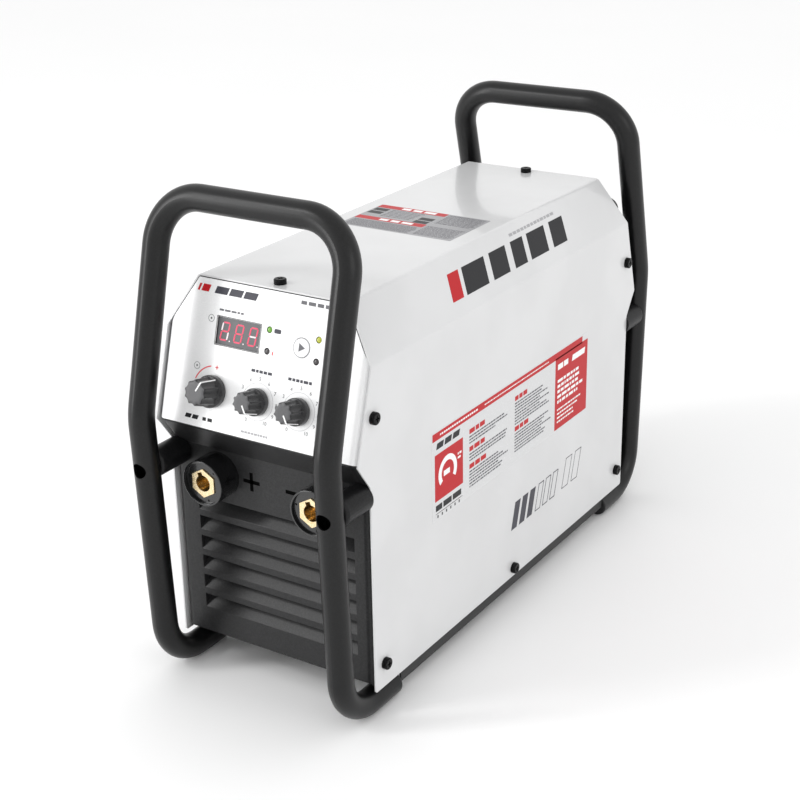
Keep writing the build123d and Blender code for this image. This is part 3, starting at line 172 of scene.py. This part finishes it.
def metal(name, dark, light, rough, grain=3.0, stretch=(1, 1, 1), depth=0.01):
    # worked metal: streaks along one direction, colour and gloss follow them
    steel = Finish(name, Metallic=1.0)
    streak = steel.noise(grain, 4, 0.6, stretch)
    steel.set("Base Color", steel.colour(dark, light, streak.ease(0.3, 0.7)))
    steel.set("Roughness", rough + 0.18 * (streak - 0.5))
    steel.bump(streak, depth)
    return steel.material


def plainMoulding(name, first, second, rough, grain=0.8, **constants):
    part = Finish(name, **constants)
    cloud = part.noise(grain, 2)
    part.set("Base Color", part.colour(first, second, part.noise(grain * 9, 3)))
    part.set("Roughness", rough + 0.1 * (cloud - 0.5))
    part.bump(cloud, 0.012)
    return part.material


def ink(name, tint, rough=0.4, shine=0.3):
    # screen-printed ink, a little uneven
    inked = Finish(name, Specular_IOR_Level=shine)
    cloud = inked.noise(1.4, 3)
    lighter = tuple(min(1, 1.15 * part + 0.001) for part in tint)
    inked.set("Base Color", inked.colour(tint, lighter, cloud))
    inked.set("Roughness", rough + 0.15 * (cloud - 0.5))
    inked.bump(cloud, 0.004)
    return inked.material


def lampPlastic(name, tint, glow):
    lens = Finish(name, Emission_Strength=glow, Coat_Weight=0.8)
    cloud = lens.noise(0.9, 2)
    brighter = tuple(min(1, 1.4 * part + 0.02) for part in tint)
    lens.set("Base Color", lens.colour(tint, brighter, cloud))
    lens.set("Emission Color", lens.colour(tint, brighter, cloud))
    lens.set("Roughness", 0.18 + 0.1 * cloud)
    return lens.material


def consolePrint():
    film = Finish("silverConsoleFilm", Coat_Roughness=0.08)
    fine, broad = film.noise(0.35, 2), film.noise(60, 2)
    film.set("Base Color", film.colour((0.90, 0.903, 0.908), (0.93, 0.932, 0.935), broad))
    film.set("Metallic", 0.03 + 0.06 * fine)
    film.set("Roughness", 0.27 + 0.1 * (fine - 0.5))
    film.set("Coat Weight", 0.35 + 0.1 * broad)
    film.bump(fine, 0.004)
    return film.material


finishes = {
    "cover_paint": coverPaint(),
    "hoop_paint": texturedBlack("hoopPowderCoat", (0.002, 0.002, 0.0022), (0.007, 0.007, 0.0075),
                                0.6, 0.05, 0.36, Specular_IOR_Level=0.34),
    "black_moulding": texturedBlack("texturedMoulding", (0.008, 0.008, 0.0085), (0.026, 0.026, 0.027),
                                    0.5, 0.05, 0.42, Specular_IOR_Level=0.34),
    "base_paint": texturedBlack("basePaint", (0.006, 0.006, 0.006), (0.016, 0.016, 0.017), 0.6, 0.02, 0.5),
    "knob_plastic": texturedBlack("knobPlastic", (0.008, 0.008, 0.009), (0.02, 0.02, 0.022), 0.3, 0.008, 0.3),
    "black_screw": metal("blackScrew", (0.006, 0.006, 0.0065), (0.022, 0.022, 0.023), 0.38, 0.9),
    "zinc_steel": metal("zincSteel", (0.45, 0.46, 0.46), (0.66, 0.66, 0.64), 0.3, 2.0),
    "gloss_black": glossBlack("glossBlack", (0.004, 0.004, 0.0045), 0.2),
    "display_face": glossBlack("displayFace", (0.055, 0.055, 0.06), 0.3),
    "brass": metal("socketBrass", (0.82, 0.62, 0.33), (0.96, 0.82, 0.56), 0.26, 1.2, (1, 0.2, 1), 0.006),
    "console_print": consolePrint(),
    "segment_red": lampPlastic("litSegment", (0.50, 0.012, 0.06), 0.35),
    "segment_pale": lampPlastic("unlitSegment", (0.72, 0.62, 0.64), 0.02),
    "lamp_green": lampPlastic("greenLamp", (0.10, 0.27, 0.012), 0.15),
    "lamp_lime": lampPlastic("limeLamp", (0.34, 0.36, 0.02), 0.15),
    "lamp_dark": lampPlastic("darkLamp", (0.025, 0.02, 0.022), 0.0),
    "button_white": plainMoulding("whiteButton", (0.78, 0.78, 0.79), (0.86, 0.86, 0.87), 0.35),
    "board_green": plainMoulding("circuitBoard", (0.01, 0.11, 0.04), (0.02, 0.2, 0.08), 0.35, 0.5),
    "part_grey": plainMoulding("greyNylon", (0.035, 0.036, 0.038), (0.06, 0.06, 0.063), 0.45),
    "seal_rubber": plainMoulding("sealRubber", (0.01, 0.01, 0.01), (0.025, 0.025, 0.025), 0.7),
    "sink_aluminium": metal("heatsinkAluminium", (0.55, 0.56, 0.57), (0.75, 0.76, 0.77),
                            0.35, 2.0, (1, 0.1, 1)),
    "copper": metal("windingCopper", (0.55, 0.22, 0.10), (0.82, 0.42, 0.24), 0.3, 1.5),
    "can_black": glossBlack("canSleeve", (0.012, 0.012, 0.018), 0.3),
    "core_steel": plainMoulding("coreSteel", (0.05, 0.05, 0.055), (0.10, 0.10, 0.105), 0.6),
    "tray_steel": metal("traySteel", (0.42, 0.43, 0.43), (0.62, 0.62, 0.61), 0.35, 9.0),
}
satinBlack = texturedBlack("satinBlack", (0.004, 0.004, 0.0045), (0.012, 0.012, 0.013),
                           0.9, 0.008, 0.42, Specular_IOR_Level=0.22)
finishOfNode = {"spacers": satinBlack}  # the stand-offs are duller than the sockets
inks = {
    "black": ink("blackInk", (0.010, 0.010, 0.012)),
    # painted shade: a near-black, almost unreflective slab stands for the shade in the sign recesses
    "signRecessShade": ink("signRecessShade", (0.001, 0.001, 0.001), 0.7, 0.02),
    "slate": ink("slateInk", (0.045, 0.045, 0.058)),
    "grey": ink("greyInk", (0.12, 0.12, 0.13)),
    "pale": ink("paleInk", (0.36, 0.36, 0.37)),
    "red": ink("redInk", (0.46, 0.005, 0.010)),
    "coral": ink("coralInk", (0.72, 0.07, 0.08)),
    "white": ink("whiteInk", (0.84, 0.84, 0.84)),
    "card": ink("labelCard", (0.62, 0.622, 0.628), 0.25),
    "topCard": ink("topLabelCard", (0.29, 0.29, 0.30), 0.25),
}
slotOfNode = {row["node"]: row["material_slot"] for row in record["subparts"]}
for node, cadObject in frame["nodes"].items():
    cadObject.data.materials.clear()
    cadObject.data.materials.append(finishOfNode.get(node, finishes[slotOfNode[node]]))
print("stage: materials")


def gridQuads(rows, columns):
    # faces between neighbouring rows of points; the last column joins the first
    row, column = np.meshgrid(np.arange(rows - 1), np.arange(columns), indexing="ij")
    near = (row * columns).ravel()
    this, following = column.ravel(), (column.ravel() + 1) % columns
    return np.stack([near + this, near + following, near + columns + following, near + columns + this], 1)


def makePiece(name, points, faces, material, body, smooth=True, outward=True):
    mesh = bpy.data.meshes.new(name)
    mesh.from_pydata([tuple(p) for p in points.tolist()], [], [list(f) for f in faces])
    mesh.validate()
    piece = bpy.data.objects.new(name, mesh)
    bpy.context.scene.collection.objects.link(piece)
    if outward:
        bpy.context.view_layer.objects.active = piece
        piece.select_set(True)
        bpy.ops.object.mode_set(mode="EDIT")
        bpy.ops.mesh.select_all(action="SELECT")
        bpy.ops.mesh.normals_make_consistent(inside=False)
        bpy.ops.object.mode_set(mode="OBJECT")
        piece.select_set(False)
    mesh.polygons.foreach_set("use_smooth", np.full(len(mesh.polygons), smooth))
    mesh.materials.append(material)
    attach(piece, body)
    return piece


class Face:
    # a flat face of the machine: points on it are u across, v up and n out, in mm
    def __init__(self, origin, across, up):
        self.origin = np.array(origin, float)
        self.across, self.up = np.array(across, float), np.array(up, float)
        self.out = np.cross(self.across, self.up)

    def at(self, u, v, n=0.0):
        u, v, n = np.broadcast_arrays(*(np.asarray(part, float)[..., None] for part in (u, v, n)))
        return self.origin + mm * (u * self.across + v * self.up + n * self.out)


def printed(name, outlines, face, tint, body="housing", low=0.02, high=0.07):
    # every outline becomes a thin closed slab from low to high above the face: ink for the prints, painted
    # shade for the socket signs
    points, faces, start = [], [], 0
    for outline in outlines:
        shape = np.asarray(outline, float)
        count = len(shape)
        points += [face.at(shape[:, 0], shape[:, 1], level) for level in (high, low)]
        ring = np.arange(count)
        faces += [list(start + ring), list(start + count + ring[::-1])]
        following = (ring + 1) % count
        sides = np.stack([ring, ring + count, following + count, following], 1)
        faces += (start + sides).tolist()
        start += 2 * count
    return makePiece(name, np.concatenate(points), faces, inks[tint], body, smooth=False)


def box(u, v, width, height, slant=0.0):
    # rectangle centred on u, v; slant leans its top over, in mm
    w, h, lean = width / 2, height / 2, slant / 2
    return [(u - w - lean, v - h), (u + w - lean, v - h), (u + w + lean, v + h), (u - w + lean, v + h)]


def disc(u, v, radius, count=28):
    turn = np.arange(count) * 2 * math.pi / count
    return np.stack([u + radius * np.cos(turn), v + radius * np.sin(turn)], 1)


def arcBand(u, v, radius, width, first=0.0, last=359.5, count=72):
    # band of a circle between two clockwise angles from up, in degrees
    turn = np.radians(np.linspace(first, last, count))
    rings = [(radius + side * width / 2) for side in (1, -1)]
    outer, inner = (np.stack([u + r * np.sin(turn), v + r * np.cos(turn)], 1) for r in rings)
    return np.concatenate([outer, inner[::-1]])


def roundedBox(u, v, width, height, radius, count=6):
    turn = np.linspace(0, math.pi / 2, count)
    corners = []
    for k, (signU, signV) in enumerate(((1, 1), (-1, 1), (-1, -1), (1, -1))):
        angle = turn + k * math.pi / 2
        cornerU = u + signU * (width / 2 - radius)
        cornerV = v + signV * (height / 2 - radius)
        corners.append(np.stack([cornerU + radius * np.cos(angle), cornerV + radius * np.sin(angle)], 1))
    return np.concatenate(corners)


def outlined(u, v, width, height, slant, line):
    # four thin bars round a leaning box
    edge = slant / 2
    lean = slant * (height - line) / height
    return [box(u - edge * (1 - line / height), v - height / 2 + line / 2, width, line),
            box(u + edge * (1 - line / height), v + height / 2 - line / 2, width, line),
            box(u - width / 2 + line / 2, v, line, height - 2 * line, lean),
            box(u + width / 2 - line / 2, v, line, height - 2 * line, lean)]


rng = np.random.default_rng(7)
letterHeight = 1.2  # the lengths and gaps of the bars are given for letters this tall


def wordRow(left, right, v, height, shortest=1.0, longest=4.5, gap=0.7):
    # a line of unreadable text: bars of random length with gaps between them
    lengths = rng.uniform(shortest, longest, int((right - left) / shortest) + 2) * height / letterHeight
    starts = left + np.concatenate([[0], np.cumsum(lengths + gap * height / letterHeight)[:-1]])
    kept = starts + lengths < right
    return [box(a + b / 2, v, b, height) for a, b in zip(starts[kept], lengths[kept])]


# a print is a list of layers, each its name, ink, level and shapes
# a shape is its kind and its measures in mm, u across and v up from the face's origin:
#   bar: u, v, width, height, slant             pad: u, v, width, height, corner
#   ring: u, v, radius, line, first, last       dot: u, v, radius
#   words: left, right, v, height, shortest, longest, gap
#   lines: left, v, count, pitch, shortest line, longest line, height
#   hollow: u, v, width, height, slant, line
levels = {"bare": (0.02, 0.07), "card": (0.0, 0.08), "onCard": (0.05, 0.12), "onInk": (0.1, 0.17)}
shapeMakers = {"bar": box, "pad": roundedBox, "ring": arcBand, "dot": disc}


def drawn(shapes, up):
    outlines = []
    for kind, *measures in shapes:
        if kind == "words":
            left, right, v, *rest = measures
            outlines += wordRow(left, right, up * v, *rest)
        elif kind == "lines":
            left, v, count, pitch, shortest, longest, height = measures
            for line in range(count):
                outlines += wordRow(left, left + rng.uniform(shortest, longest), v - pitch * line, height)
        elif kind == "hollow":
            outlines += outlined(*measures)
        else:
            u, v, *rest = measures
            outlines.append(shapeMakers[kind](u, up * v, *rest))
    return outlines


def printLayers(layers, face, prefix="", up=1):
    # up is -1 where v is given down the slope
    for name, tint, level, shapes in layers:
        low, high = levels[level]
        printed(prefix + name, drawn(shapes, up), face, tint, low=low, high=high)


coverLow, coverHigh = (np.array(corner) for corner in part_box("cover"))
dialAxis = np.array(joints["current_dial_turn"]["axis"])
dialPlace = np.array(joints["current_dial_turn"]["pos_m"])
downSlope = np.array([0, -dialAxis[2], dialAxis[1]])
dialDown = 83.7  # from the cover's top edge down the slope to the dials
console = Face([0, *(dialPlace - dialDown * mm * downSlope)[1:]], (1, 0, 0), -downSlope)
rightSide = Face((coverHigh[0], 0, coverLow[2]), (0, 1, 0), (0, 0, 1))
leftSide = Face((coverLow[0], 0, coverLow[2]), (0, -1, 0), (0, 0, 1))
topFace = Face((0, 0, coverHigh[2]), (1, 0, 0), (0, 1, 0))
shoulder = {"in": 25.0, "drop": 40.0}
shoulderUp = np.array([-shoulder["in"], 0, shoulder["drop"]]) / math.hypot(shoulder["in"], shoulder["drop"])
shoulderOrigin = (coverHigh[0], 0, coverHigh[2] - shoulder["drop"] * mm)
rightShoulder = Face(shoulderOrigin, (0, 1, 0), shoulderUp)
leftShoulder = Face((-shoulderOrigin[0], 0, shoulderOrigin[2]), (0, -1, 0), shoulderUp * (-1, 1, 1))


dialX = {"current": -41.4, "hotStart": -0.3, "arcForce": 36.4}
consoleLayers = [  # v is down the slope from the cover's top edge
    ("brandBars", "slate", "bare", [("bar", u, 9.2, 11.6, 5.4, 2.0) for u in (-43.8, -30.6, -17.4)]),
    ("brandAccent", "red", "bare", [("bar", -64.6, 9.2, 2.0, 5.4, 2.0), ("bar", -58.6, 9.2, 7.0, 5.4, 2.0)]),
    ("consoleCaptions", "grey", "bare", [
        ("words", -44, -20, 23.0, 1.5), ("words", 27, 55, 6.4, 2.6, 1.6, 3.0),
        ("ring", -50.6, 30.5, 2.6, 0.35), ("dot", -50.6, 30.5, 0.8),
        ("ring", -58.7, 67.2, 2.6, 0.35), ("dot", -58.7, 67.2, 0.8),
        ("ring", 32.1, 38.3, 7.3, 0.3)]),  # round the push button
    ("dialTitles", "slate", "bare", [
        ("words", -9, 12.5, 61.7, 2.1, 1.2, 2.2, 0.45), ("words", 24, 45.5, 62.0, 2.1, 1.2, 2.2, 0.45),
        ("pad", 9.9, 30.4, 6.0, 3.2, 0.9)]),
    ("modelBars", "black", "bare", [
        ("bar", -61.5, 105.5, 5.4, 3.2, 1.1), ("bar", -54.9, 105.5, 5.4, 3.2, 1.1),
        ("words", -48, -39, 105.5, 2.6, 1.4, 2.0)]),
    ("footNote", "pale", "bare", [("words", -12, 13, 107.6, 1.6, 1.2, 2.4, 0.4)]),
    ("currentArc", "coral", "bare", [
        ("ring", dialX["current"], dialDown, 18.6, 0.9, -69, -13, 30),
        ("bar", -40.2, 65.7, 3.0, 0.8), ("bar", -40.2, 65.7, 0.8, 3.0),  # a plus at the arc's end
        ("bar", 7.6, 46.9, 1.0, 2.6)]),
    ("heatIcon", "pale", "bare", [("ring", 7.6, 45.6, 1.0, 0.25, -90, 90, 12)]),
    ("dialRings", "pale", "bare", [
        ("ring", dialX["hotStart"], dialDown, 13.8, 0.25),
        ("ring", dialX["arcForce"], dialDown, 13.8, 0.25)]),
    ("windowEdge", "black", "bare", [
        ("bar", -25.0, 27.6, 40.6, 0.5), ("bar", -25.0, 49.0, 40.6, 0.5),
        ("bar", -45.3, 38.3, 0.5, 21.4), ("bar", -4.7, 38.3, 0.5, 21.4)]),
]
buttonArrow = {"outline": [(30.0, -41.4), (35.3, -38.3), (30.0, -35.2)], "low": 0.52, "high": 0.58}
printLayers(consoleLayers, console, up=-1)
printed("buttonArrow", [buttonArrow["outline"]], console, "grey", "mode_button",
        buttonArrow["low"], buttonArrow["high"])


dialFigures = {
    "count": 11, "middle": 5, "step": 30.0, "radius": 16.8,
    "size": 3.915, "lift": 0.05, "curve": 3,
}


def dialNumbers():
    # figures 0 to 10 round both small dials, five at the top
    lay = dialFigures
    points, faces, start = [], [], 0
    for dial in ("hotStart", "arcForce"):
        for number in range(lay["count"]):
            angle = math.radians((number - lay["middle"]) * lay["step"])
            curve = bpy.data.curves.new("figure", "FONT")
            curve.body, curve.align_x, curve.align_y = str(number), "CENTER", "CENTER"
            curve.size, curve.resolution_u = lay["size"], lay["curve"]
            holder = bpy.data.objects.new("figure", curve)
            flat = bpy.data.meshes.new_from_object(holder)
            spots = np.empty(3 * len(flat.vertices))
            flat.vertices.foreach_get("co", spots)
            spots = spots.reshape(-1, 3)
            u = dialX[dial] + lay["radius"] * math.sin(angle) + spots[:, 0]
            v = -dialDown + lay["radius"] * math.cos(angle) + spots[:, 1]
            points.append(console.at(u, v, lay["lift"]))
            faces += [[start + k for k in polygon.vertices] for polygon in flat.polygons]
            start += len(spots)
            bpy.data.meshes.remove(flat)
            bpy.data.objects.remove(holder)
            bpy.data.curves.remove(curve)
    makePiece("dialNumbers", np.concatenate(points), faces, inks["black"], "housing",
              smooth=False, outward=False)


signForm = {
    "across": 19.7, "shift": 3.0, "length": 15.3, "width": 3.0,
    "low": -1.98, "high": -0.15, "inFront": 6.3,
}


def printSigns():
    # near-black painted shade fills the plus and minus recesses of the lower panel
    lay = signForm
    socket = np.array(mounts["positive_socket"]["pos_m"])
    panel = Face((0, socket[1] + lay["inFront"] * mm, socket[2]), (1, 0, 0), (0, 0, 1))
    left, right = lay["shift"] - lay["across"], lay["shift"] + lay["across"]
    plus = [box(left, 0, lay["length"], lay["width"]), box(left, 0, lay["width"], lay["length"])]
    minus = [box(right, 0, lay["length"], lay["width"])]
    # painted shade: these near-black slabs sit below the panel face, in the sign recesses
    signShadeSlabs = printed("socketSignRecessShade", plus + minus, panel, "signRecessShade", low=lay["low"], high=lay["high"])


dialNumbers()
printSigns()
print("stage: console print")


# the label's columns keep their order seen from outside on either side
paragraphs = [(-74, 161.5, 3), (-74, 146.5, 3), (-74, 131.5, 6), (0, 163.0, 8), (0, 136.0, 7)]  # u, v, lines
sideLayers = [
    ("LabelCard", "card", "card", [("pad", 1.5, 143, 263, 74, 1.0)]),
    ("LabelRed", "red", "onCard", [
        ("bar", -3.5, 176, 251, 6.4), ("bar", 102, 140.75, 61, 66.5), ("bar", -105, 141.5, 42, 39),
        *[("words", u, u + 30, v, 4.0, 1.6, 2.6, 0.4) for u, v, count in paragraphs]]),
    ("LabelText", "slate", "onCard", [
        ("lines", u, v - 4.4, count, 2.6, 44, 66, 1.2) for u, v, count in paragraphs]),
    ("LabelDark", "black", "onCard", [
        *[("bar", -118 + 12 * k, 167.5, 10, 5.0, 1.5) for k in range(3)],
        ("words", -125, -86, 116.0, 5.0, 1.8, 3.2, 0.4), ("bar", -105, 111.4, 40, 0.5),
        *[("bar", -122 + 6.4 * k, 108.8, 1.6, 2.4) for k in range(6)]]),
    ("LabelWhite", "white", "onInk", [
        ("ring", -107, 141.5, 11.5, 4.6, -125, 125, 40), ("bar", -108.5, 141.5, 9.0, 4.4),
        ("words", -92, -85.5, 150, 1.8), ("words", -92, -85.5, 146.6, 1.8),
        ("words", 76, 100, 165, 5.0, 1.6, 2.4, 0.4), ("bar", 115, 165, 24, 5.4, 1.2),
        ("lines", 76, 152, 5, 4.8, 38, 52, 2.6), ("lines", 76, 125.5, 4, 3.8, 32, 50, 1.5),
        ("words", -118, -60, 176, 1.5, 1.0, 2.4), ("words", -50, 60, 176, 1.0, 1.0, 3.0)]),
    ("ModelBold", "slate", "bare", [("bar", 4 + 13.5 * k, 56.5, 9.6, 24, 7) for k in range(3)]),
    ("ModelThin", "slate", "bare", [
        *[("hollow", 46 + 13.5 * k, 56.5, 9.6, 24, 7, 0.9) for k in range(3)],
        *[("hollow", 98 + 18 * k, 59, 12, 27, 8, 0.7) for k in range(2)]]),
]
shoulderBars = [(-44, 34), (-6, 26), (26, 20), (58, 30), (94, 24)]  # place and width
shoulderLayers = [
    ("ShoulderBars", "black", "bare", [("bar", u, 22.5, width, 21, 9) for u, width in shoulderBars]),
    ("ShoulderAccent", "red", "bare", [("bar", -74, 22.5, 16, 21, 9)]),
    ("ShoulderNote", "pale", "bare", [("words", 24, 104, 38.0, 2.4, 1.4, 2.8)]),
]
topTextRows = [  # first row of three columns: left, right, v, height, then the pitch
    (15, 50, 27, 1.1, 3.0), (15, 50, -8, 1.1, 2.8), (-50, 12, -16, 0.9, 2.0),
]
topLayers = [
    ("topLabelCard", "topCard", "card", [("pad", -0.5, -2.5, 105, 65, 1.0)]),
    ("topLabelBands", "red", "onCard", [("bar", -20, 26, 65, 8), ("bar", -20, -9, 65, 8)]),
    ("topLabelWhite", "white", "onInk", [
        ("words", -30, 8, 26, 4.5, 2.0, 3.0), ("words", -30, 8, -9, 4.5, 2.0, 3.0)]),
    ("topLabelSquares", "black", "onCard", [
        ("bar", -45, 16.5, 13, 7), ("bar", -45, 7.5, 13, 7),
        ("bar", 4, 8.5, 13, 7), ("bar", 4, -0.5, 13, 7)]),
    ("topLabelText", "slate", "onCard", [
        *[("words", left, right, v - pitch * line, height)
          for line in range(9) for left, right, v, height, pitch in topTextRows],
        *[("words", -36, -4, 19 - 3.6 * line, 1.1) for line in range(6)]]),
]
for face, name in ((rightSide, "right"), (leftSide, "left")):
    printLayers(sideLayers, face, name)
for face, name in ((rightShoulder, "right"), (leftShoulder, "left")):
    printLayers(shoulderLayers, face, name)
printLayers(topLayers, topFace)
print("stage: cover print")


knobs = {
    "current": {"joint": "current_dial_turn", "node": "current_knob",
                "radius": 12.2, "tall": 21.0, "pointer": 29.0},
    "hotStart": {"joint": "hot_start_turn", "node": "hot_start_knob",
                 "radius": 10.2, "tall": 19.0, "pointer": 148.0},
    "arcForce": {"joint": "arc_force_turn", "node": "arc_force_knob",
                 "radius": 10.2, "tall": 19.0, "pointer": 148.0},
}
knobForm = {
    "float": 0.6, "flutes": 10, "ridge": 0.16, "depth": 1.15, "flutePower": 2.4, "columns": 240,
    "grip": 0.90, "tip": 0.79, "shoulder": 0.93, "shoulderHeight": 5.35, "faceDepth": 0.12,
}
pointerForm = {"width": 1.1, "start": 1.6, "over": 0.14, "under": 0.2, "slack": 0.01}
knobFaceFinish = texturedBlack("knobFace", (0.055, 0.055, 0.058), (0.085, 0.085, 0.09), 0.3, 0.006, 0.42)


def knobProfile(radius, tall):
    # rows of the turned form, from under the skirt to the pole: radius, height, depth of the flutes
    grip, tip, deep = knobForm["grip"] * radius, knobForm["tip"] * radius, knobForm["depth"]
    rows = [(3.4, 1.2, 0), (0.80 * radius, 1.2, 0), (0.82 * radius, 0, 0), (0.975 * radius, 0, 0),
            (radius, 0.3, 0), (radius, 4.3, 0), (0.992 * radius, 4.8, 0), (0.965 * radius, 5.2, 0),
            (knobForm["shoulder"] * radius, knobForm["shoulderHeight"], 0), (grip + 0.1, 5.4, 0.1),
            (grip, 5.6, deep)]
    climb = np.linspace(0, 1, 10)[1:, None]
    rows += (np.array([grip, 5.6, deep]) + climb * np.array([tip - grip, tall - 6.5, 0.1])).tolist()
    rows += [(tip - 0.12, tall - 0.45, deep), (tip - 0.4, tall - 0.12, deep * 0.9)]
    rows += [(tip - 0.8, tall, deep * 0.75), (0.6 * tip, tall, 0), (0.3 * tip, tall, 0)]
    return np.array(rows)


def makeKnob(name, lay):
    joint = joints[lay["joint"]]
    centre = np.array(joint["pos_m"])
    profile = knobProfile(lay["radius"], lay["tall"])
    turn = np.arange(knobForm["columns"]) * 2 * math.pi / knobForm["columns"]
    across = np.abs(2 * ((turn * knobForm["flutes"] / (2 * math.pi)) % 1) - 1)  # 1 on a ridge, 0 mid-flute
    # hollow = 1 - min(1, across / (1 - ridge)) ** flutePower, which is 0 on a ridge and 1 mid-flute
    hollow = 1 - np.minimum(1, across / (1 - knobForm["ridge"])) ** knobForm["flutePower"]
    radius = profile[:, :1] - profile[:, 2:] * hollow
    pointerAngle = math.radians(90 - lay["pointer"])  # given in degrees clockwise from up
    angle = turn + pointerAngle  # the first ridge carries the pointer
    place = Face(centre, console.across, console.up)
    height = profile[:, 1:2] + knobForm["float"]
    points = place.at(radius * np.cos(angle), radius * np.sin(angle), np.broadcast_to(height, radius.shape))
    pole = place.at(0, 0, lay["tall"] + knobForm["float"])
    rows, columns = radius.shape
    ring = np.arange(columns)
    last = (rows - 1) * columns + ring
    fan = np.stack([last, np.roll(last, -1), np.full(columns, rows * columns)], 1)
    faces = gridQuads(rows, columns).tolist() + fan.tolist() + [list(ring[::-1])]
    points = np.concatenate([points.reshape(-1, 3), pole.reshape(-1, 3)])
    knob = makePiece(name + "Knob", points, faces, finishes["knob_plastic"], joint["child"])
    knob.data.materials.append(knobFaceFinish)  # the matt grey top
    top = place.at(0, 0, height.max() - knobForm["faceDepth"]) @ place.out
    centres = np.empty(3 * len(knob.data.polygons))
    knob.data.polygons.foreach_get("center", centres)
    onTop = centres.reshape(-1, 3) @ place.out > top
    knob.data.polygons.foreach_set("material_index", onTop.astype(int))
    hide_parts(lay["node"])
    makePointer(name, lay, place, profile, pointerAngle, joint["child"])


def makePointer(name, lay, place, profile, angle, body):
    # white line from near the face's centre over its edge and down a ridge to the skirt
    half, over, under = pointerForm["width"] / 2, pointerForm["over"], -pointerForm["under"]
    path = profile[profile[:, 1] >= knobForm["shoulderHeight"]][:, :2][::-1]
    path = path[path[:, 0] < knobForm["shoulder"] * lay["radius"] + pointerForm["slack"]]
    path = np.concatenate([[[pointerForm["start"], lay["tall"]]], path])
    slope = np.gradient(path, axis=0)
    normal = np.stack([-slope[:, 1], slope[:, 0]], 1)
    normal /= np.linalg.norm(normal, axis=1, keepdims=True)
    along = np.array([math.cos(angle), math.sin(angle)])
    beside = np.array([-math.sin(angle), math.cos(angle)])
    corners = []
    for side, lift in ((-half, over), (half, over), (half, under), (-half, under)):
        spot = path + lift * normal
        u = spot[:, 0] * along[0] + side * beside[0]
        v = spot[:, 0] * along[1] + side * beside[1]
        corners.append(place.at(u, v, spot[:, 1] + knobForm["float"]))
    points = np.stack(corners, 1).reshape(-1, 3)
    ends = [[0, 1, 2, 3], [len(points) - k for k in (1, 2, 3, 4)]]
    faces = gridQuads(len(path), 4).tolist() + ends
    makePiece(name + "Pointer", points, faces, inks["white"], body, smooth=False)


for name, lay in knobs.items():
    makeKnob(name, lay)
print("stage: knobs")


studio = {
    "floorSize": 60.0, "worldStrength": 1.0,
    "lights": [
        ("keyStrip", (-1.75, -1.9, 0.8), (0.45, 1.5), 22.0),
        ("topSoftbox", (-1.3, -1.7, 1.9), (0.45, 0.45), 10.0),
        ("rightFill", (2.6, -0.6, 1.2), (1.4, 1.4), 8.0),
    ],
    "aim": (0, 0, 0.18),
    "camera": (0.6590, -1.0479, 0.6713), "azimuth": 32.93, "elevation": 22.28, "roll": -1.09,
    "lens": 70.86, "sensor": 36.0,
}


def makeStudio():
    size = studio["floorSize"] / 2
    corners = np.array([(-size, -size, 0), (size, -size, 0), (size, size, 0), (-size, size, 0)])
    mesh = bpy.data.meshes.new("floor")
    mesh.from_pydata(corners.tolist(), [], [(0, 1, 2, 3)])
    floor = bpy.data.objects.new("floor", mesh)
    bpy.context.scene.collection.objects.link(floor)
    pale = Finish("paleFloor")
    cloud = pale.noise(400, 2)
    pale.set("Base Color", pale.colour((0.94, 0.94, 0.94), (0.96, 0.96, 0.96), cloud))
    pale.set("Roughness", 0.55 + 0.1 * cloud)
    mesh.materials.append(pale.material)
    world = bpy.data.worlds.new("studio")
    world.use_nodes = True
    world.node_tree.nodes["Background"].inputs["Color"].default_value = (1, 1, 1, 1)
    world.node_tree.nodes["Background"].inputs["Strength"].default_value = studio["worldStrength"]
    bpy.context.scene.world = world
    for name, place, (width, height), power in studio["lights"]:
        light = bpy.data.lights.new(name, "AREA")
        light.shape = "RECTANGLE"
        light.size, light.size_y, light.energy = width, height, power
        holder = bpy.data.objects.new(name, light)
        holder.location = place
        aim = Vector(studio["aim"]) - Vector(place)
        holder.rotation_euler = aim.to_track_quat("-Z", "Y").to_euler()
        bpy.context.scene.collection.objects.link(holder)


def makeCamera():
    # looks along -back; roll turns the picture about its middle
    a, e, r = (math.radians(studio[key]) for key in ("azimuth", "elevation", "roll"))
    back = np.array([math.sin(a) * math.cos(e), -math.cos(a) * math.cos(e), math.sin(e)])
    right = np.array([math.cos(a), math.sin(a), 0])
    up = np.cross(back, right)
    turned = right * math.cos(r) + up * math.sin(r), up * math.cos(r) - right * math.sin(r)
    lens = bpy.data.cameras.new("camera")
    lens.lens, lens.sensor_width = studio["lens"], studio["sensor"]
    camera = bpy.data.objects.new("camera", lens)
    matrix = np.eye(4)
    matrix[:3, :3] = np.stack([*turned, back], 1)
    matrix[:3, 3] = studio["camera"]
    camera.matrix_world = Matrix(matrix.tolist())
    bpy.context.scene.collection.objects.link(camera)
    bpy.context.scene.camera = camera


makeStudio()
makeCamera()
bpy.context.scene.view_settings.view_transform = "Standard"
print("stage: studio")
